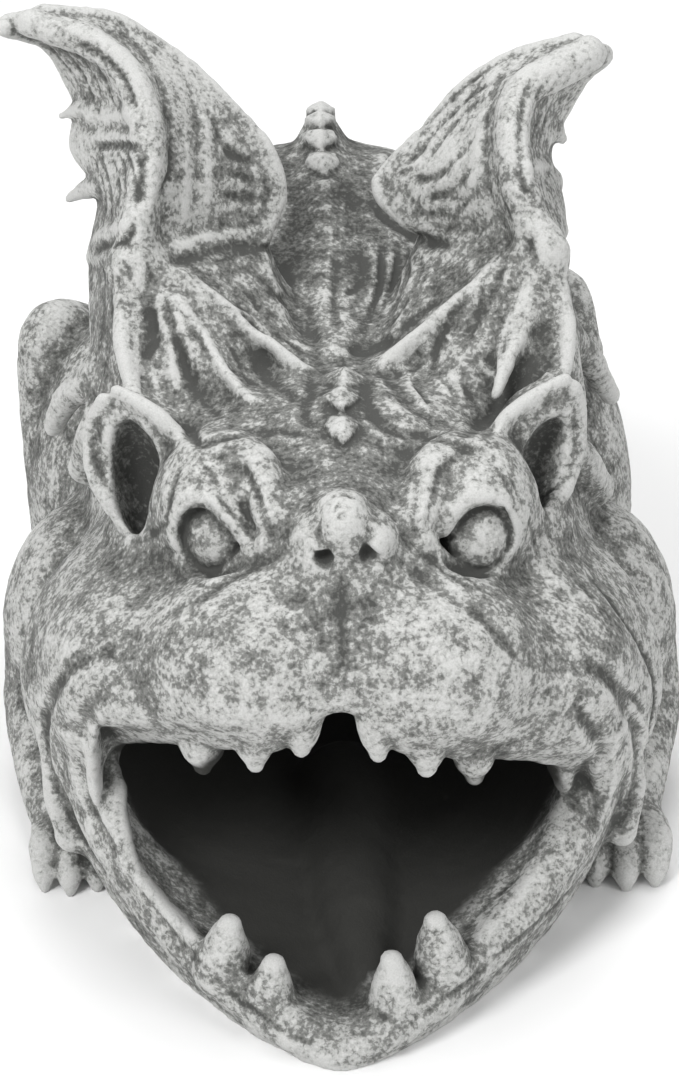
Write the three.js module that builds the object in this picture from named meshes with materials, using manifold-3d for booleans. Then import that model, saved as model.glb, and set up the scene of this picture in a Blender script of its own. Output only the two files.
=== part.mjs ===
// A gargoyle for the foot of a gutter downspout: a crouching winged beast cast in one hollow piece.
// The pipe enters a square opening at the rear, and the water runs out over the lower jaw.
// Millimetres. +Z is up, the mouth faces -Y, and X grows towards the beast's left side.
import * as THREE from "three";
import { ConvexGeometry } from "three/addons/geometries/ConvexGeometry.js";
import { mergeVertices } from "three/addons/utils/BufferGeometryUtils.js";
import Module from "manifold-3d";

const wasm = await Module();
wasm.setup();

// Overall sizes.
const REAR = 200; // flat plane the downspout meets, and half of the whole length
const RIM_FRONT = 14; // height of the jaw's spout over the ground
const RIM_SLOPE = 0.66; // how steeply the jaw's rim climbs towards the corners of the mouth
const JAW_TIP = -195; // inside of the jaw's rim at the front
const CORNER_LEFT = [-92, -95, 76]; // corners of the mouth, one lower than the other
const CORNER_RIGHT = [98, -94, 62];

// Rear opening, made for a 3 by 4 inch downspout and its elbow.
const PIPE_HALF_WIDTH = 58;
const PIPE_FLOOR = 44;
const PIPE_HEIGHT = 106;
const PIPE_CORNER = 12;
const REAR_WALL = 14;

const EYE_RADIUS = 10.7;
const WING_THICK = 7;
const LIP_ROLL = 6.5;

// ---- geometry helpers ----

const at = (p) => new THREE.Vector3(...p);

// A three.js geometry as a solid that can be joined and cut.
function solid(geometry) {
  const bare = geometry.clone();
  bare.deleteAttribute("normal");
  bare.deleteAttribute("uv");
  const merged = mergeVertices(bare, 1e-3);
  return new wasm.Manifold(
    new wasm.Mesh({
      numProp: 3,
      vertProperties: merged.attributes.position.array,
      triVerts: new Uint32Array(merged.index.array),
    }),
  );
}

// A closed body from points and triangles, turned to face outwards.
function body(points, faces) {
  let volume = 0;
  for (let i = 0; i < faces.length; i += 3) {
    const [a, b, c] = faces.slice(i, i + 3).map((k) => points[k]);
    volume += a.dot(b.clone().cross(c));
  }
  if (volume < 0) {
    for (let i = 0; i < faces.length; i += 3) {
      [faces[i + 1], faces[i + 2]] = [faces[i + 2], faces[i + 1]];
    }
  }
  const geometry = new THREE.BufferGeometry().setFromPoints(points);
  geometry.setIndex(faces);
  return solid(geometry);
}

// Rings of equal length joined into a closed body, with a fan over each end.
function loft(rings) {
  const n = rings[0].length;
  const points = rings.flat();
  const faces = [];
  for (let r = 0; r + 1 < rings.length; r++) {
    for (let i = 0; i < n; i++) {
      const a = r * n + i;
      const b = r * n + ((i + 1) % n);
      faces.push(a, b, b + n, a, b + n, a + n);
    }
  }
  const lastRing = (rings.length - 1) * n;
  for (const [start, turned] of [[0, true], [lastRing, false]]) {
    const middle = new THREE.Vector3();
    for (let i = 0; i < n; i++) middle.addScaledVector(points[start + i], 1 / n);
    points.push(middle);
    const m = points.length - 1;
    for (let i = 0; i < n; i++) {
      const j = start + ((i + 1) % n);
      if (turned) faces.push(m, j, start + i);
      else faces.push(m, start + i, j);
    }
  }
  return body(points, faces);
}

// Closed superellipse curve value: x and y factors for an angle and an exponent.
function superellipse(angle, exponent) {
  const c = Math.cos(angle);
  const s = Math.sin(angle);
  return [
    Math.sign(c) * Math.abs(c) ** (2 / exponent),
    Math.sign(s) * Math.abs(s) ** (2 / exponent),
  ];
}

// Sections across the length of the beast, each [y, centre x, half width, low z, high z].
function trunk(sections, exponent, sides) {
  return loft(
    sections.map(([y, x, half, low, high]) =>
      Array.from({ length: sides }, (_, i) => {
        const [u, v] = superellipse((2 * Math.PI * (i + 0.5)) / sides, exponent);
        return new THREE.Vector3(x + half * u, y, (low + high) / 2 + ((high - low) / 2) * v);
      }),
    ),
  );
}

// A rounded mass: a ball stretched to three radii, turned by angles in degrees.
function lump(centre, radii, turn = [0, 0, 0], detail = 3) {
  const ball = new THREE.IcosahedronGeometry(1, detail);
  ball.scale(...radii);
  ball.rotateX(THREE.MathUtils.degToRad(turn[0]));
  ball.rotateY(THREE.MathUtils.degToRad(turn[1]));
  ball.rotateZ(THREE.MathUtils.degToRad(turn[2]));
  ball.translate(...centre);
  return solid(ball);
}

// A round bar along a smooth path with a radius at each point and domed ends.
// A radius may be a pair: across the path level with the ground, and the other way.
function limb(path, radii, sides = 8, steps = (path.length - 1) * 2) {
  const curve = new THREE.CatmullRomCurve3(path.map(at), false, "centripetal");
  const pairs = radii.map((r) => (Array.isArray(r) ? r : [r, r]));
  const size = (t, k) => {
    const f = t * (pairs.length - 1);
    const i = Math.min(Math.floor(f), pairs.length - 2);
    return THREE.MathUtils.lerp(pairs[i][k], pairs[i + 1][k], f - i);
  };
  const rings = [];
  const ring = (t, slide, shrink) => {
    const along = curve.getTangent(t);
    let across = new THREE.Vector3(0, 0, 1).cross(along);
    if (across.length() < 0.2) across = new THREE.Vector3(1, 0, 0).cross(along);
    across.normalize();
    const upward = along.clone().cross(across).normalize();
    const a = size(t, 0) * shrink;
    const b = size(t, 1) * shrink;
    const middle = curve.getPoint(t).addScaledVector(along, slide * Math.min(size(t, 0), size(t, 1)));
    rings.push(
      Array.from({ length: sides }, (_, i) => {
        const angle = (2 * Math.PI * i) / sides;
        return middle
          .clone()
          .addScaledVector(across, a * Math.cos(angle))
          .addScaledVector(upward, b * Math.sin(angle));
      }),
    );
  };
  ring(0, -0.75, 0.6);
  for (let s = 0; s <= steps; s++) ring(s / steps, 0, 1);
  ring(1, 0.75, 0.6);
  return loft(rings);
}

// A thin curved web between two edges, given as equal lists of points, with its own thickness.
// The middle of the web is pushed along the sag vector, as skin hangs between two bones.
function web(edgeA, edgeB, thick, sag = [0, 0, 0], rows = 10, columns = 4) {
  const curveA = new THREE.CatmullRomCurve3(edgeA.map(at), false, "centripetal");
  const curveB = new THREE.CatmullRomCurve3(edgeB.map(at), false, "centripetal");
  const middle = [];
  for (let r = 0; r <= rows; r++) {
    const a = curveA.getPoint(r / rows);
    const b = curveB.getPoint(r / rows);
    const row = [];
    for (let c = 0; c <= columns; c++) {
      const t = c / columns;
      row.push(a.clone().lerp(b, t).addScaledVector(at(sag), 4 * t * (1 - t)));
    }
    middle.push(row);
  }
  const pick = (r, c) => middle[Math.max(0, Math.min(rows, r))][Math.max(0, Math.min(columns, c))];
  const points = [];
  for (const side of [1, -1]) {
    for (let r = 0; r <= rows; r++) {
      for (let c = 0; c <= columns; c++) {
        const down = pick(r + 1, c).clone().sub(pick(r - 1, c));
        const over = pick(r, c + 1).clone().sub(pick(r, c - 1));
        const normal = down.cross(over).normalize();
        points.push(pick(r, c).clone().addScaledVector(normal, (side * thick) / 2));
      }
    }
  }
  const wide = columns + 1;
  const back = (rows + 1) * wide;
  const faces = [];
  const square = (a, b, c, d) => faces.push(a, b, c, a, c, d);
  for (let r = 0; r < rows; r++) {
    for (let c = 0; c < columns; c++) {
      const k = r * wide + c;
      square(k, k + 1, k + wide + 1, k + wide);
      square(back + k, back + k + wide, back + k + wide + 1, back + k + 1);
    }
  }
  for (let c = 0; c < columns; c++) {
    const k = rows * wide + c;
    square(c + 1, c, back + c, back + c + 1);
    square(k, k + 1, back + k + 1, back + k);
  }
  for (let r = 0; r < rows; r++) {
    const k = r * wide;
    const e = k + columns;
    square(k, k + wide, back + k + wide, back + k);
    square(e + wide, e, back + e, back + e + wide);
  }
  return body(points, faces);
}

// A flat-sided block round a handful of corners.
const block = (corners) => solid(new ConvexGeometry(corners.map(at)));

const joined = (solids) => wasm.Manifold.union(solids);

// ---- the masses of the beast ----

// Back, belly and rump, flat on the ground and flat at the rear.
function torso() {
  return trunk(
    [
      [-40, 0, 96, -60, 184],
      [0, 0, 110, -60, 196],
      [40, -2, 113, -60, 201],
      [80, -6, 106, -60, 212],
      [125, -9, 97, -60, 225],
      [165, -6, 93, -60, 214],
      [REAR, -3, 90, -60, 182],
    ],
    2.4,
    20,
  );
}

function skull() {
  return joined([
    lump([0, -48, 92], [116, 96, 76], [0, 0, 0], 3),
    lump([1, -46, 140], [91, 69, 62], [0, 0, 0], 2),
    lump([-80, -56, 84], [45, 48, 56], [0, 0, -8], 2),
    lump([82, -54, 80], [45, 48, 56], [0, 0, 8], 2),
  ]);
}

// Outside of the lower jaw: a boat-shaped hull that flares upwards.
function jawHull() {
  const levels = [-6, 10, 32, 90];
  const sides = 24;
  return loft(
    levels.map((z) => {
      const flare = 25 * (1 - Math.exp(-Math.max(z, 0) / 34));
      return Array.from({ length: sides }, (_, i) => {
        const [u, v] = superellipse((2 * Math.PI * i) / sides, 1.38);
        const length = v < 0 ? 119 + 0.2 * flare : 60;
        return new THREE.Vector3(1 + (92 + flare) * u, -80 + length * v, z);
      });
    }),
  );
}

// What the open mouth takes away in front: a wedge between the upper lip and the jaw's rim.
function gape() {
  const height = (y) => RIM_FRONT + (y - JAW_TIP) * RIM_SLOPE;
  const [, cornerY] = CORNER_LEFT;
  const side = new THREE.Shape([
    new THREE.Vector2(cornerY, height(cornerY) - 8),
    new THREE.Vector2(cornerY, height(cornerY) - 2),
    new THREE.Vector2(-150, 113),
    new THREE.Vector2(-250, 176),
    new THREE.Vector2(-250, height(-250)),
  ]);
  const wedge = new THREE.ExtrudeGeometry(side, { depth: 320, bevelEnabled: false });
  wedge.translate(0, 0, -160);
  // The extrusion's x, y, z become the beast's y, z, x.
  wedge.applyMatrix4(new THREE.Matrix4().set(0, 0, 1, 0, 1, 0, 0, 0, 0, 1, 0, 0, 0, 0, 0, 1));
  const tilt = Math.atan2(CORNER_LEFT[2] - CORNER_RIGHT[2], CORNER_RIGHT[0] - CORNER_LEFT[0]);
  wedge.translate(0, 0, -70);
  wedge.rotateY(tilt);
  wedge.translate(0, 0, 70);
  return solid(wedge);
}

// The bowl of the lower jaw, open upwards.
function jawBowl() {
  const half = [3, 25, 49, 70, 84, 88];
  return trunk(
    half.map((w, i) => {
      const y = JAW_TIP - 1 + (i / (half.length - 1)) ** 1.5 * 100;
      const rim = RIM_FRONT + (y - JAW_TIP) * RIM_SLOPE;
      return [y, 0, w, RIM_FRONT + 2 - 4 * Math.sin((Math.PI * i) / 5), rim + 34];
    }),
    2,
    16,
  );
}

// The hollow from the palate through the throat and the body to the rear wall.
function gullet() {
  return trunk(
    [
      [-137, 0, 58, 18, 108],
      [-118, 0, 72, 18, 118],
      [-98, 0, 86, 18, 128],
      [-55, 0, 94, 20, 150],
      [20, 0, 94, 28, 172],
      [100, -3, 80, 36, 186],
      [145, -4, 76, 38, 188],
      [REAR - REAR_WALL, -2, 70, 40, 166],
    ],
    2.5,
    16,
  );
}

// The square way in for the downspout.
function pipeOpening() {
  const half = PIPE_HALF_WIDTH - PIPE_CORNER;
  const top = PIPE_FLOOR + PIPE_HEIGHT - PIPE_CORNER;
  const outline = new THREE.Shape();
  outline.absarc(half, top, PIPE_CORNER, 0, Math.PI / 2);
  outline.absarc(-half, top, PIPE_CORNER, Math.PI / 2, Math.PI);
  outline.absarc(-half, PIPE_FLOOR + PIPE_CORNER, PIPE_CORNER, Math.PI, 1.5 * Math.PI);
  outline.absarc(half, PIPE_FLOOR + PIPE_CORNER, PIPE_CORNER, 1.5 * Math.PI, 2 * Math.PI);
  const hole = new THREE.ExtrudeGeometry(outline, { depth: 40, bevelEnabled: false, curveSegments: 3 });
  hole.rotateX(Math.PI / 2);
  hole.translate(0, REAR + 15, 0);
  return solid(hole);
}

// ---- the face ----

function muzzle() {
  return joined([
    lump([-31, -124, 138], [43, 37, 37], [0, 0, -8], 2),
    lump([34, -124, 137], [43, 37, 37], [0, 0, 8], 2),
    lump([1, -134, 184], [13.5, 11.5, 10.5], [20, 0, 0], 1),
    lump([1, -110, 164], [28, 28, 24], [0, 0, 0], 0),
    lump([1, -104, 136], [56, 58, 43], [0, 0, 0], 1),
  ]).subtract(
    joined([
      lump([-8, -144, 179], [6, 7, 5], [0, 0, 0], 0),
      lump([10, -144, 179], [6, 7, 5], [0, 0, 0], 0),
      lump([1, -152, 102], [15, 40, 26], [0, 0, 0], 1),
    ]),
  );
}

function lips() {
  const upper = limb(
    [[-92, -92, 80], [-76, -107, 92], [-60, -122, 103], [-44, -136, 110], [-26, -146, 116]],
    [7, 8, 9, 9, 8],
    6,
    5,
  );
  const upperRight = limb(
    [[98, -92, 66], [85, -105, 81], [71, -116, 93], [55, -129, 103], [28, -146, 115]],
    [7, 8, 9, 9, 8],
    6,
    5,
  );
  const rim = limb(
    [
      [-99, -94, 62],
      [-90, -113, 45],
      [-76, -131, 32],
      [-58, -153, 21],
      [-33, -177, 12],
      [-2, -193, 6],
      [28, -181, 11],
      [52, -158, 19],
      [72, -136, 29],
      [91, -112, 42],
      [101, -92, 54],
    ],
    [LIP_ROLL, LIP_ROLL, LIP_ROLL, LIP_ROLL, LIP_ROLL, LIP_ROLL],
    5,
    9,
  );
  return joined([upper, upperRight, rim]);
}

// The loose skin that folds round each corner of the mouth.
function cheekFolds() {
  const left = limb(
    [[-105, -92, 30], [-108, -88, 50], [-107, -84, 68], [-103, -82, 84], [-94, -86, 98], [-80, -96, 110]],
    [[7, 6], 8, 8, 8, 7, 6],
    5,
    4,
  );
  const right = limb(
    [[111, -88, 30], [112, -84, 48], [109, -82, 65], [103, -82, 80], [94, -88, 94], [80, -98, 106]],
    [[7, 6], 8, 8, 8, 7, 6],
    5,
    4,
  );
  return joined([left, right]);
}

function tooth(tip, root, radius) {
  const axis = at(tip).sub(at(root));
  const cone = new THREE.CylinderGeometry(1.2, radius, axis.length(), 6, 1);
  cone.translate(0, axis.length() / 2, 0);
  cone.applyQuaternion(new THREE.Quaternion().setFromUnitVectors(new THREE.Vector3(0, 1, 0), axis.normalize()));
  cone.translate(...root);
  return solid(cone);
}

function teeth() {
  const upper = [
    [-51, -133, 88, 10],
    [-31, -147, 99, 9],
    [-14, -151, 108, 8.5],
    [14, -152, 107, 8.5],
    [32, -149, 98, 9],
    [50, -138, 87, 9.5],
    [86, -104, 61, 7],
  ].map(([x, y, z, r]) => tooth([x, y, z], [x * 0.99, y + 3, z + 16], r));
  const lower = [
    [-40, -166, 47, 10],
    [-24, -176, 36, 9.5],
    [19, -178, 39, 9.5],
    [35, -167, 49, 10],
  ].map(([x, y, z, r]) => tooth([x, y, z], [x * 1.1, y + 1, z - 26], r));
  return joined([...upper, ...lower]);
}

// A low tongue on the floor of the jaw, for the water to run over.
function tongue() {
  return limb(
    [[2, -40, 20], [4, -90, 19], [8, -130, 18], [11, -160, 16]],
    [[30, 7], [28, 8], [24, 8], [13, 6]],
    6,
    3,
  );
}

// Hooded brows, heavy lids and round eyes.
function eyes() {
  const balls = [
    lump([-45, -92, 165], [EYE_RADIUS, EYE_RADIUS, EYE_RADIUS + 1], [0, 0, 0], 1),
    lump([49, -92, 166], [EYE_RADIUS, EYE_RADIUS, EYE_RADIUS + 1], [0, 0, 0], 1),
  ];
  const sockets = joined([
    lump([-46, -98, 167], [16, 13, 17], [20, 0, 0], 1),
    lump([50, -98, 168], [16, 13, 17], [20, 0, 0], 1),
  ]);
  const hoods = [
    limb(
      [[-64, -76, 158], [-60, -76, 175], [-50, -76, 188], [-39, -78, 193], [-30, -88, 192], [-25, -106, 182]],
      [7, 9, 10, 10, 9, 6],
      6,
      5,
    ),
    limb(
      [[70, -72, 158], [65, -74, 175], [55, -76, 187], [43, -78, 192], [34, -88, 191], [29, -106, 182]],
      [7, 9, 10, 10, 9, 6],
      6,
      5,
    ),
    limb([[-64, -82, 156], [-50, -98, 151], [-37, -107, 161], [-28, -111, 173]], [4, 5, 5, 4], 5, 2),
    limb([[67, -80, 154], [54, -97, 151], [40, -107, 161], [31, -110, 174]], [4, 5, 5, 4], 5, 2),
  ];
  return { balls: joined(balls), sockets, hoods: joined(hoods) };
}

// Broad leaf-shaped ears, hollow in front, with a thick edge.
function ears() {
  const ear = (inner, outer) => web(inner, outer, 8, [-Math.sign(outer[0][0]) * 5, 10, -7], 6, 3);
  return joined([
    ear(
      [[-84, -46, 203], [-75, -51, 200], [-66, -56, 195], [-58, -60, 185], [-60, -62, 166]],
      [[-90, -44, 198], [-94, -42, 187], [-94, -46, 170], [-86, -60, 160], [-70, -70, 152]],
    ),
    ear(
      [[83, -46, 208], [73, -50, 203], [63, -55, 198], [56, -60, 188], [58, -62, 168]],
      [[89, -44, 203], [91, -42, 192], [90, -46, 174], [83, -58, 163], [68, -68, 156]],
    ),
  ]);
}

// ---- back and wings ----

// Overlapping pointed scales down the spine, largest on the hump and smallest on the brow.
function spine() {
  const ridge = limb(
    [[-5, 176, 200], [-7, 140, 222], [-6, 100, 210], [-3, 50, 193], [0, 0, 188]],
    [13, 14, 11, 9, 8],
    5,
    5,
  );
  const line = new THREE.CatmullRomCurve3(
    [[-7, 140, 233], [-6, 112, 224], [-5, 84, 211], [-4, 60, 203], [1, -34, 198], [1, -60, 197], [2, -88, 186]].map(at),
  );
  const spots = [0, 0.07, 0.14, 0.21, 0.28, 0.35, 0.7, 0.77, 0.84, 0.91, 0.98];
  const scales = spots.map((t) => {
    const p = line.getPoint(t);
    const along = line.getTangent(t);
    const s = THREE.MathUtils.lerp(13, 9, t);
    const spot = (x, forward, up) => [p.x + x * s, p.y + forward * s * along.y, p.z + forward * s * along.z + up * s];
    return block([
      spot(0, 1, 0.1),
      spot(0, -0.3, 0.6),
      spot(-1, -0.35, -0.3),
      spot(1, -0.35, -0.3),
      spot(0, -0.2, -1),
    ]);
  });
  return joined([ridge, ...scales]);
}

// One raised wing: the bent finger at its leading edge, the sail between it and the spine,
// the outer skin with its scalloped edge, and the web that drapes down to the neck.
function wing(side) {
  const { lead, sail, outer, feet, root } = side;
  const bone = limb(lead, [5, 5.5, 6, 6.5, 7, 8], 4, 6);
  const knob = lump(lead.at(-1), [11, 11, 11], [0, 0, 0], 1);
  const parts = [
    bone,
    knob,
    web(lead, sail, WING_THICK, [0, 5, 0], 8, 2),
    web(lead, outer, WING_THICK, [side.out * 3, 4, 0], 9, 1),
    block(root),
  ];
  for (const [from, bend, to] of feet) parts.push(limb([from, bend, to], [7, 6, 5], 4, 2));
  return joined(parts);
}

const LEFT_WING = {
  out: -1,
  lead: [
    [-120, 60, 309],
    [-96, 53, 303],
    [-81, 43, 292],
    [-74, 31, 275],
    [-75, 20, 259],
    [-78, 11, 245],
    [-80, 5, 230],
  ],
  sail: [
    [-114, 66, 311],
    [-88, 72, 305],
    [-64, 74, 288],
    [-47, 70, 273],
    [-30, 65, 254],
    [-25, 58, 237],
    [-31, 46, 223],
  ],
  outer: [
    [-131, 62, 306],
    [-117, 78, 295],
    [-109, 80, 282],
    [-103, 78, 266],
    [-105, 74, 251],
    [-94, 68, 233],
    [-99, 58, 210],
  ],
  feet: [
    [[-80, 5, 230], [-60, -16, 212], [-35, -42, 196]],
    [[-78, 6, 230], [-50, -2, 218], [-15, -20, 198]],
    [[-80, 5, 230], [-84, -18, 212], [-78, -40, 196]],
  ],
  root: [
    [-86, 6, 232],
    [-72, 6, 236],
    [-32, 48, 226],
    [-20, 40, 200],
    [-12, -16, 188],
    [-34, -40, 190],
    [-76, -40, 188],
    [-98, 0, 172],
    [-102, 56, 204],
    [-96, 64, 232],
    [-40, 74, 240],
    [-60, 92, 200],
    [-90, 90, 176],
  ],
};

const RIGHT_WING = {
  out: 1,
  lead: [
    [98, 60, 297],
    [84, 52, 292],
    [71, 44, 287],
    [67, 32, 277],
    [68, 20, 264],
    [72, 12, 251],
    [79, 5, 237],
  ],
  sail: [
    [92, 68, 298],
    [69, 72, 290],
    [50, 72, 277],
    [34, 68, 259],
    [17, 62, 241],
    [23, 53, 232],
    [36, 44, 226],
  ],
  outer: [
    [104, 67, 292],
    [99, 74, 284],
    [94, 78, 275],
    [85, 78, 256],
    [82, 74, 247],
    [86, 68, 236],
    [88, 60, 222],
  ],
  feet: [
    [[79, 5, 236], [70, -16, 216], [59, -44, 199]],
    [[77, 6, 236], [50, -2, 220], [18, -16, 199]],
    [[79, 5, 234], [88, -16, 214], [84, -36, 196]],
  ],
  root: [
    [86, 6, 236],
    [72, 6, 240],
    [36, 48, 228],
    [22, 40, 202],
    [14, -14, 190],
    [34, -40, 188],
    [80, -38, 188],
    [98, 0, 172],
    [92, 58, 204],
    [86, 64, 232],
    [40, 74, 236],
    [56, 92, 200],
    [88, 90, 176],
  ],
};

// Ribs of the folded skin that hangs over each flank.
function flanks() {
  return joined([
    limb([[-76, 6, 200], [-96, 12, 180], [-109, 20, 165], [-114, 30, 146]], [5, 7, 7, 5], 5, 3),
    limb([[-80, 0, 176], [-96, 0, 162], [-103, 8, 140]], [6, 8, 7], 5, 2),
    limb([[72, 25, 202], [88, 35, 188], [101, 45, 171], [110, 56, 148]], [5, 7, 7, 5], 5, 3),
    limb([[80, -14, 168], [95, -4, 152], [105, 10, 130]], [6, 8, 7], 5, 2),
  ]);
}

// ---- legs ----

// A foot of three toes that points forwards, each toe ending in a curved claw.
function foot([x, y], width, reach) {
  const toes = [-1, 0, 1].map((k) => {
    const side = x + (k * width) / 2.9;
    const front = y - reach * (k === 0 ? 1 : 0.9);
    return limb(
      [[x + (side - x) * 0.6, y + 8, 13], [side, y - reach * 0.4, 15], [side, front, 2]],
      [width / 3.4, width / 4, 2.4],
      4,
      2,
    );
  });
  return joined(toes);
}

function forelegs() {
  return joined([
    lump([-104, 14, 70], [34, 42, 50], [0, 6, 0], 2),
    lump([106, 14, 66], [35, 42, 50], [0, -6, 0], 2),
    limb([[-112, 28, 60], [-121, 4, 36], [-118, -34, 22], [-110, -62, 14]], [[20, 26], [17, 22], [13, 16], [14, 13]], 6, 3),
    limb([[112, 28, 60], [122, 4, 38], [120, -30, 24], [115, -56, 14]], [[20, 26], [18, 22], [14, 17], [14, 13]], 6, 3),
    foot([-107, -64], 30, 25),
    foot([114, -60], 34, 26),
  ]);
}

function hindLegs() {
  return joined([
    lump([-94, 100, 88], [41, 64, 74], [12, 6, 0], 2),
    lump([87, 96, 88], [39, 60, 74], [12, -6, 0], 2),
    limb([[-100, 150, 110], [-122, 118, 146], [-126, 104, 118], [-124, 92, 96]], [20, 14, 12, 10], 5, 3),
    limb([[80, 112, 140], [92, 90, 178], [100, 76, 158]], [20, 11, 10], 5, 3),
    limb([[-100, 140, 60], [-116, 120, 30], [-114, 84, 14], [-112, 64, 12]], [22, 17, 13, 12], 5, 3),
    limb([[100, 140, 60], [114, 120, 30], [114, 84, 14], [112, 64, 12]], [22, 17, 13, 12], 5, 3),
    foot([-114, 64], 34, 28),
    foot([114, 64], 34, 28),
  ]);
}

// ---- the whole casting ----

function casting() {
  const face = eyes();
  const shell = joined([torso(), skull(), jawHull(), forelegs(), hindLegs(), flanks()])
    .subtract(gape())
    .add(muzzle())
    .add(spine())
    .add(wing(LEFT_WING))
    .add(wing(RIGHT_WING))
    .add(ears())
    .subtract(face.sockets)
    .add(face.hoods)
    .subtract(joined([gullet(), jawBowl(), pipeOpening()]));
  const full = shell.add(joined([lips(), cheekFolds(), teeth(), tongue(), face.balls]));
  const long = 600;
  const keep = new THREE.BoxGeometry(long, 2 * REAR + 100, long);
  keep.translate(0, -50, long / 2);
  return full.intersect(solid(keep));
}

function meshOf(manifold, name, material) {
  const { numProp, numVert, vertProperties, triVerts } = manifold.getMesh();
  const position = new Float32Array(numVert * 3);
  for (let i = 0; i < numVert; i++) {
    position.set(vertProperties.subarray(i * numProp, i * numProp + 3), i * 3);
  }
  const geometry = new THREE.BufferGeometry();
  geometry.setAttribute("position", new THREE.BufferAttribute(position, 3));
  geometry.setIndex(new THREE.BufferAttribute(triVerts, 1));
  const mesh = new THREE.Mesh(geometry, material);
  mesh.name = name;
  return mesh;
}

const castStone = new THREE.MeshStandardMaterial({ color: 0x8b8c86, roughness: 0.9, metalness: 0 });
castStone.name = "cast_stone";

const root = new THREE.Group();
root.name = "downspout_gargoyle";
root.add(meshOf(casting(), "gargoyle", castStone));

export default root;
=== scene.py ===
import math

import bmesh
import bpy
import numpy as np
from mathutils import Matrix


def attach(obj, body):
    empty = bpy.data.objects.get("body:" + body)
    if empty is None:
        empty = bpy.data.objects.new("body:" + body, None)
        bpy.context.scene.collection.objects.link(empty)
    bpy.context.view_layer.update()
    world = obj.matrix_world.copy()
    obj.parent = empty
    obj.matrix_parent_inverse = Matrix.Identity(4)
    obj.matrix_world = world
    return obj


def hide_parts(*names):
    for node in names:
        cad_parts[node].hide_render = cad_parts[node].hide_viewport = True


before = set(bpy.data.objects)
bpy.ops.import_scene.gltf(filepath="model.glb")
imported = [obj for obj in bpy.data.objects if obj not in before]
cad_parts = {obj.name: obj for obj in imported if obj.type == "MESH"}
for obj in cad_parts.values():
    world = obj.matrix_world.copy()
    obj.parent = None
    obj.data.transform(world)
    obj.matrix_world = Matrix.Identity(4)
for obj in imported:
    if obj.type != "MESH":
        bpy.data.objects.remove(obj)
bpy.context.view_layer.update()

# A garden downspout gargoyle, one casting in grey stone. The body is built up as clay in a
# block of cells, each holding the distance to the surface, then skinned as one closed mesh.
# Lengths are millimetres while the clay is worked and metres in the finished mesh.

import openvdb
from mathutils import Matrix, Vector

PITCH = 1.25  # size of a cell of clay
TRIANGLES = 190000
REAR = 200.0  # the flat rear face
FAR = 24.0  # what a cell far from every form holds
OUTSIDE = 3.0  # what is read outside the block of cells
SPARE = 3  # how far past a form's box, and its melt, the clay is worked
BALL_SPARE = 2.5  # the same round each ball of a skin
BAND = 5.0  # cells either side of a baked mesh that hold its distance
GROOVE_REACH = 2.2  # how many half widths a groove is worked out to
GROOVE_FALL = 1.6  # how steeply its sides fall
TAPER = 0.18  # share of a line over which it runs out at each end
THIN_END = 0.25  # share of its depth that is left there
JUMP = 9  # a longer step than this leaves one form for another

# The board that the carved lines are drawn on, and the eye that looks at it.
AIM = np.array([0.0, 0.0, 112.0])
TILT = math.radians(30)
STAND_OFF = 1300.0
SIGHT_FROM, SIGHT_TO = STAND_OFF - 330.0, STAND_OFF + 400
SIGHT_STEPS = 900
SHORT_STEP, LONG_STEP = 0.3, 3.0
RIGHT = np.array([1.0, 0.0, 0.0])
UP = np.array([0.0, math.sin(TILT), math.cos(TILT)])
BACK = np.array([0.0, -math.cos(TILT), math.sin(TILT)])
EYE = AIM + STAND_OFF * BACK


# ---- the clay ----

def smooth_low(a, b, k):
    """The lower of two fields, melted together over k."""
    if k <= 0:
        return np.minimum(a, b)
    h = np.maximum(k - np.abs(a - b), 0) / k
    return np.minimum(a, b) - h * h * (k / 4)


class Form:
    """A shape: the box it lies in, and its distance field."""

    def __init__(self, low, high, field):
        self.low, self.high, self.field = np.array(low, float), np.array(high, float), field


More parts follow.
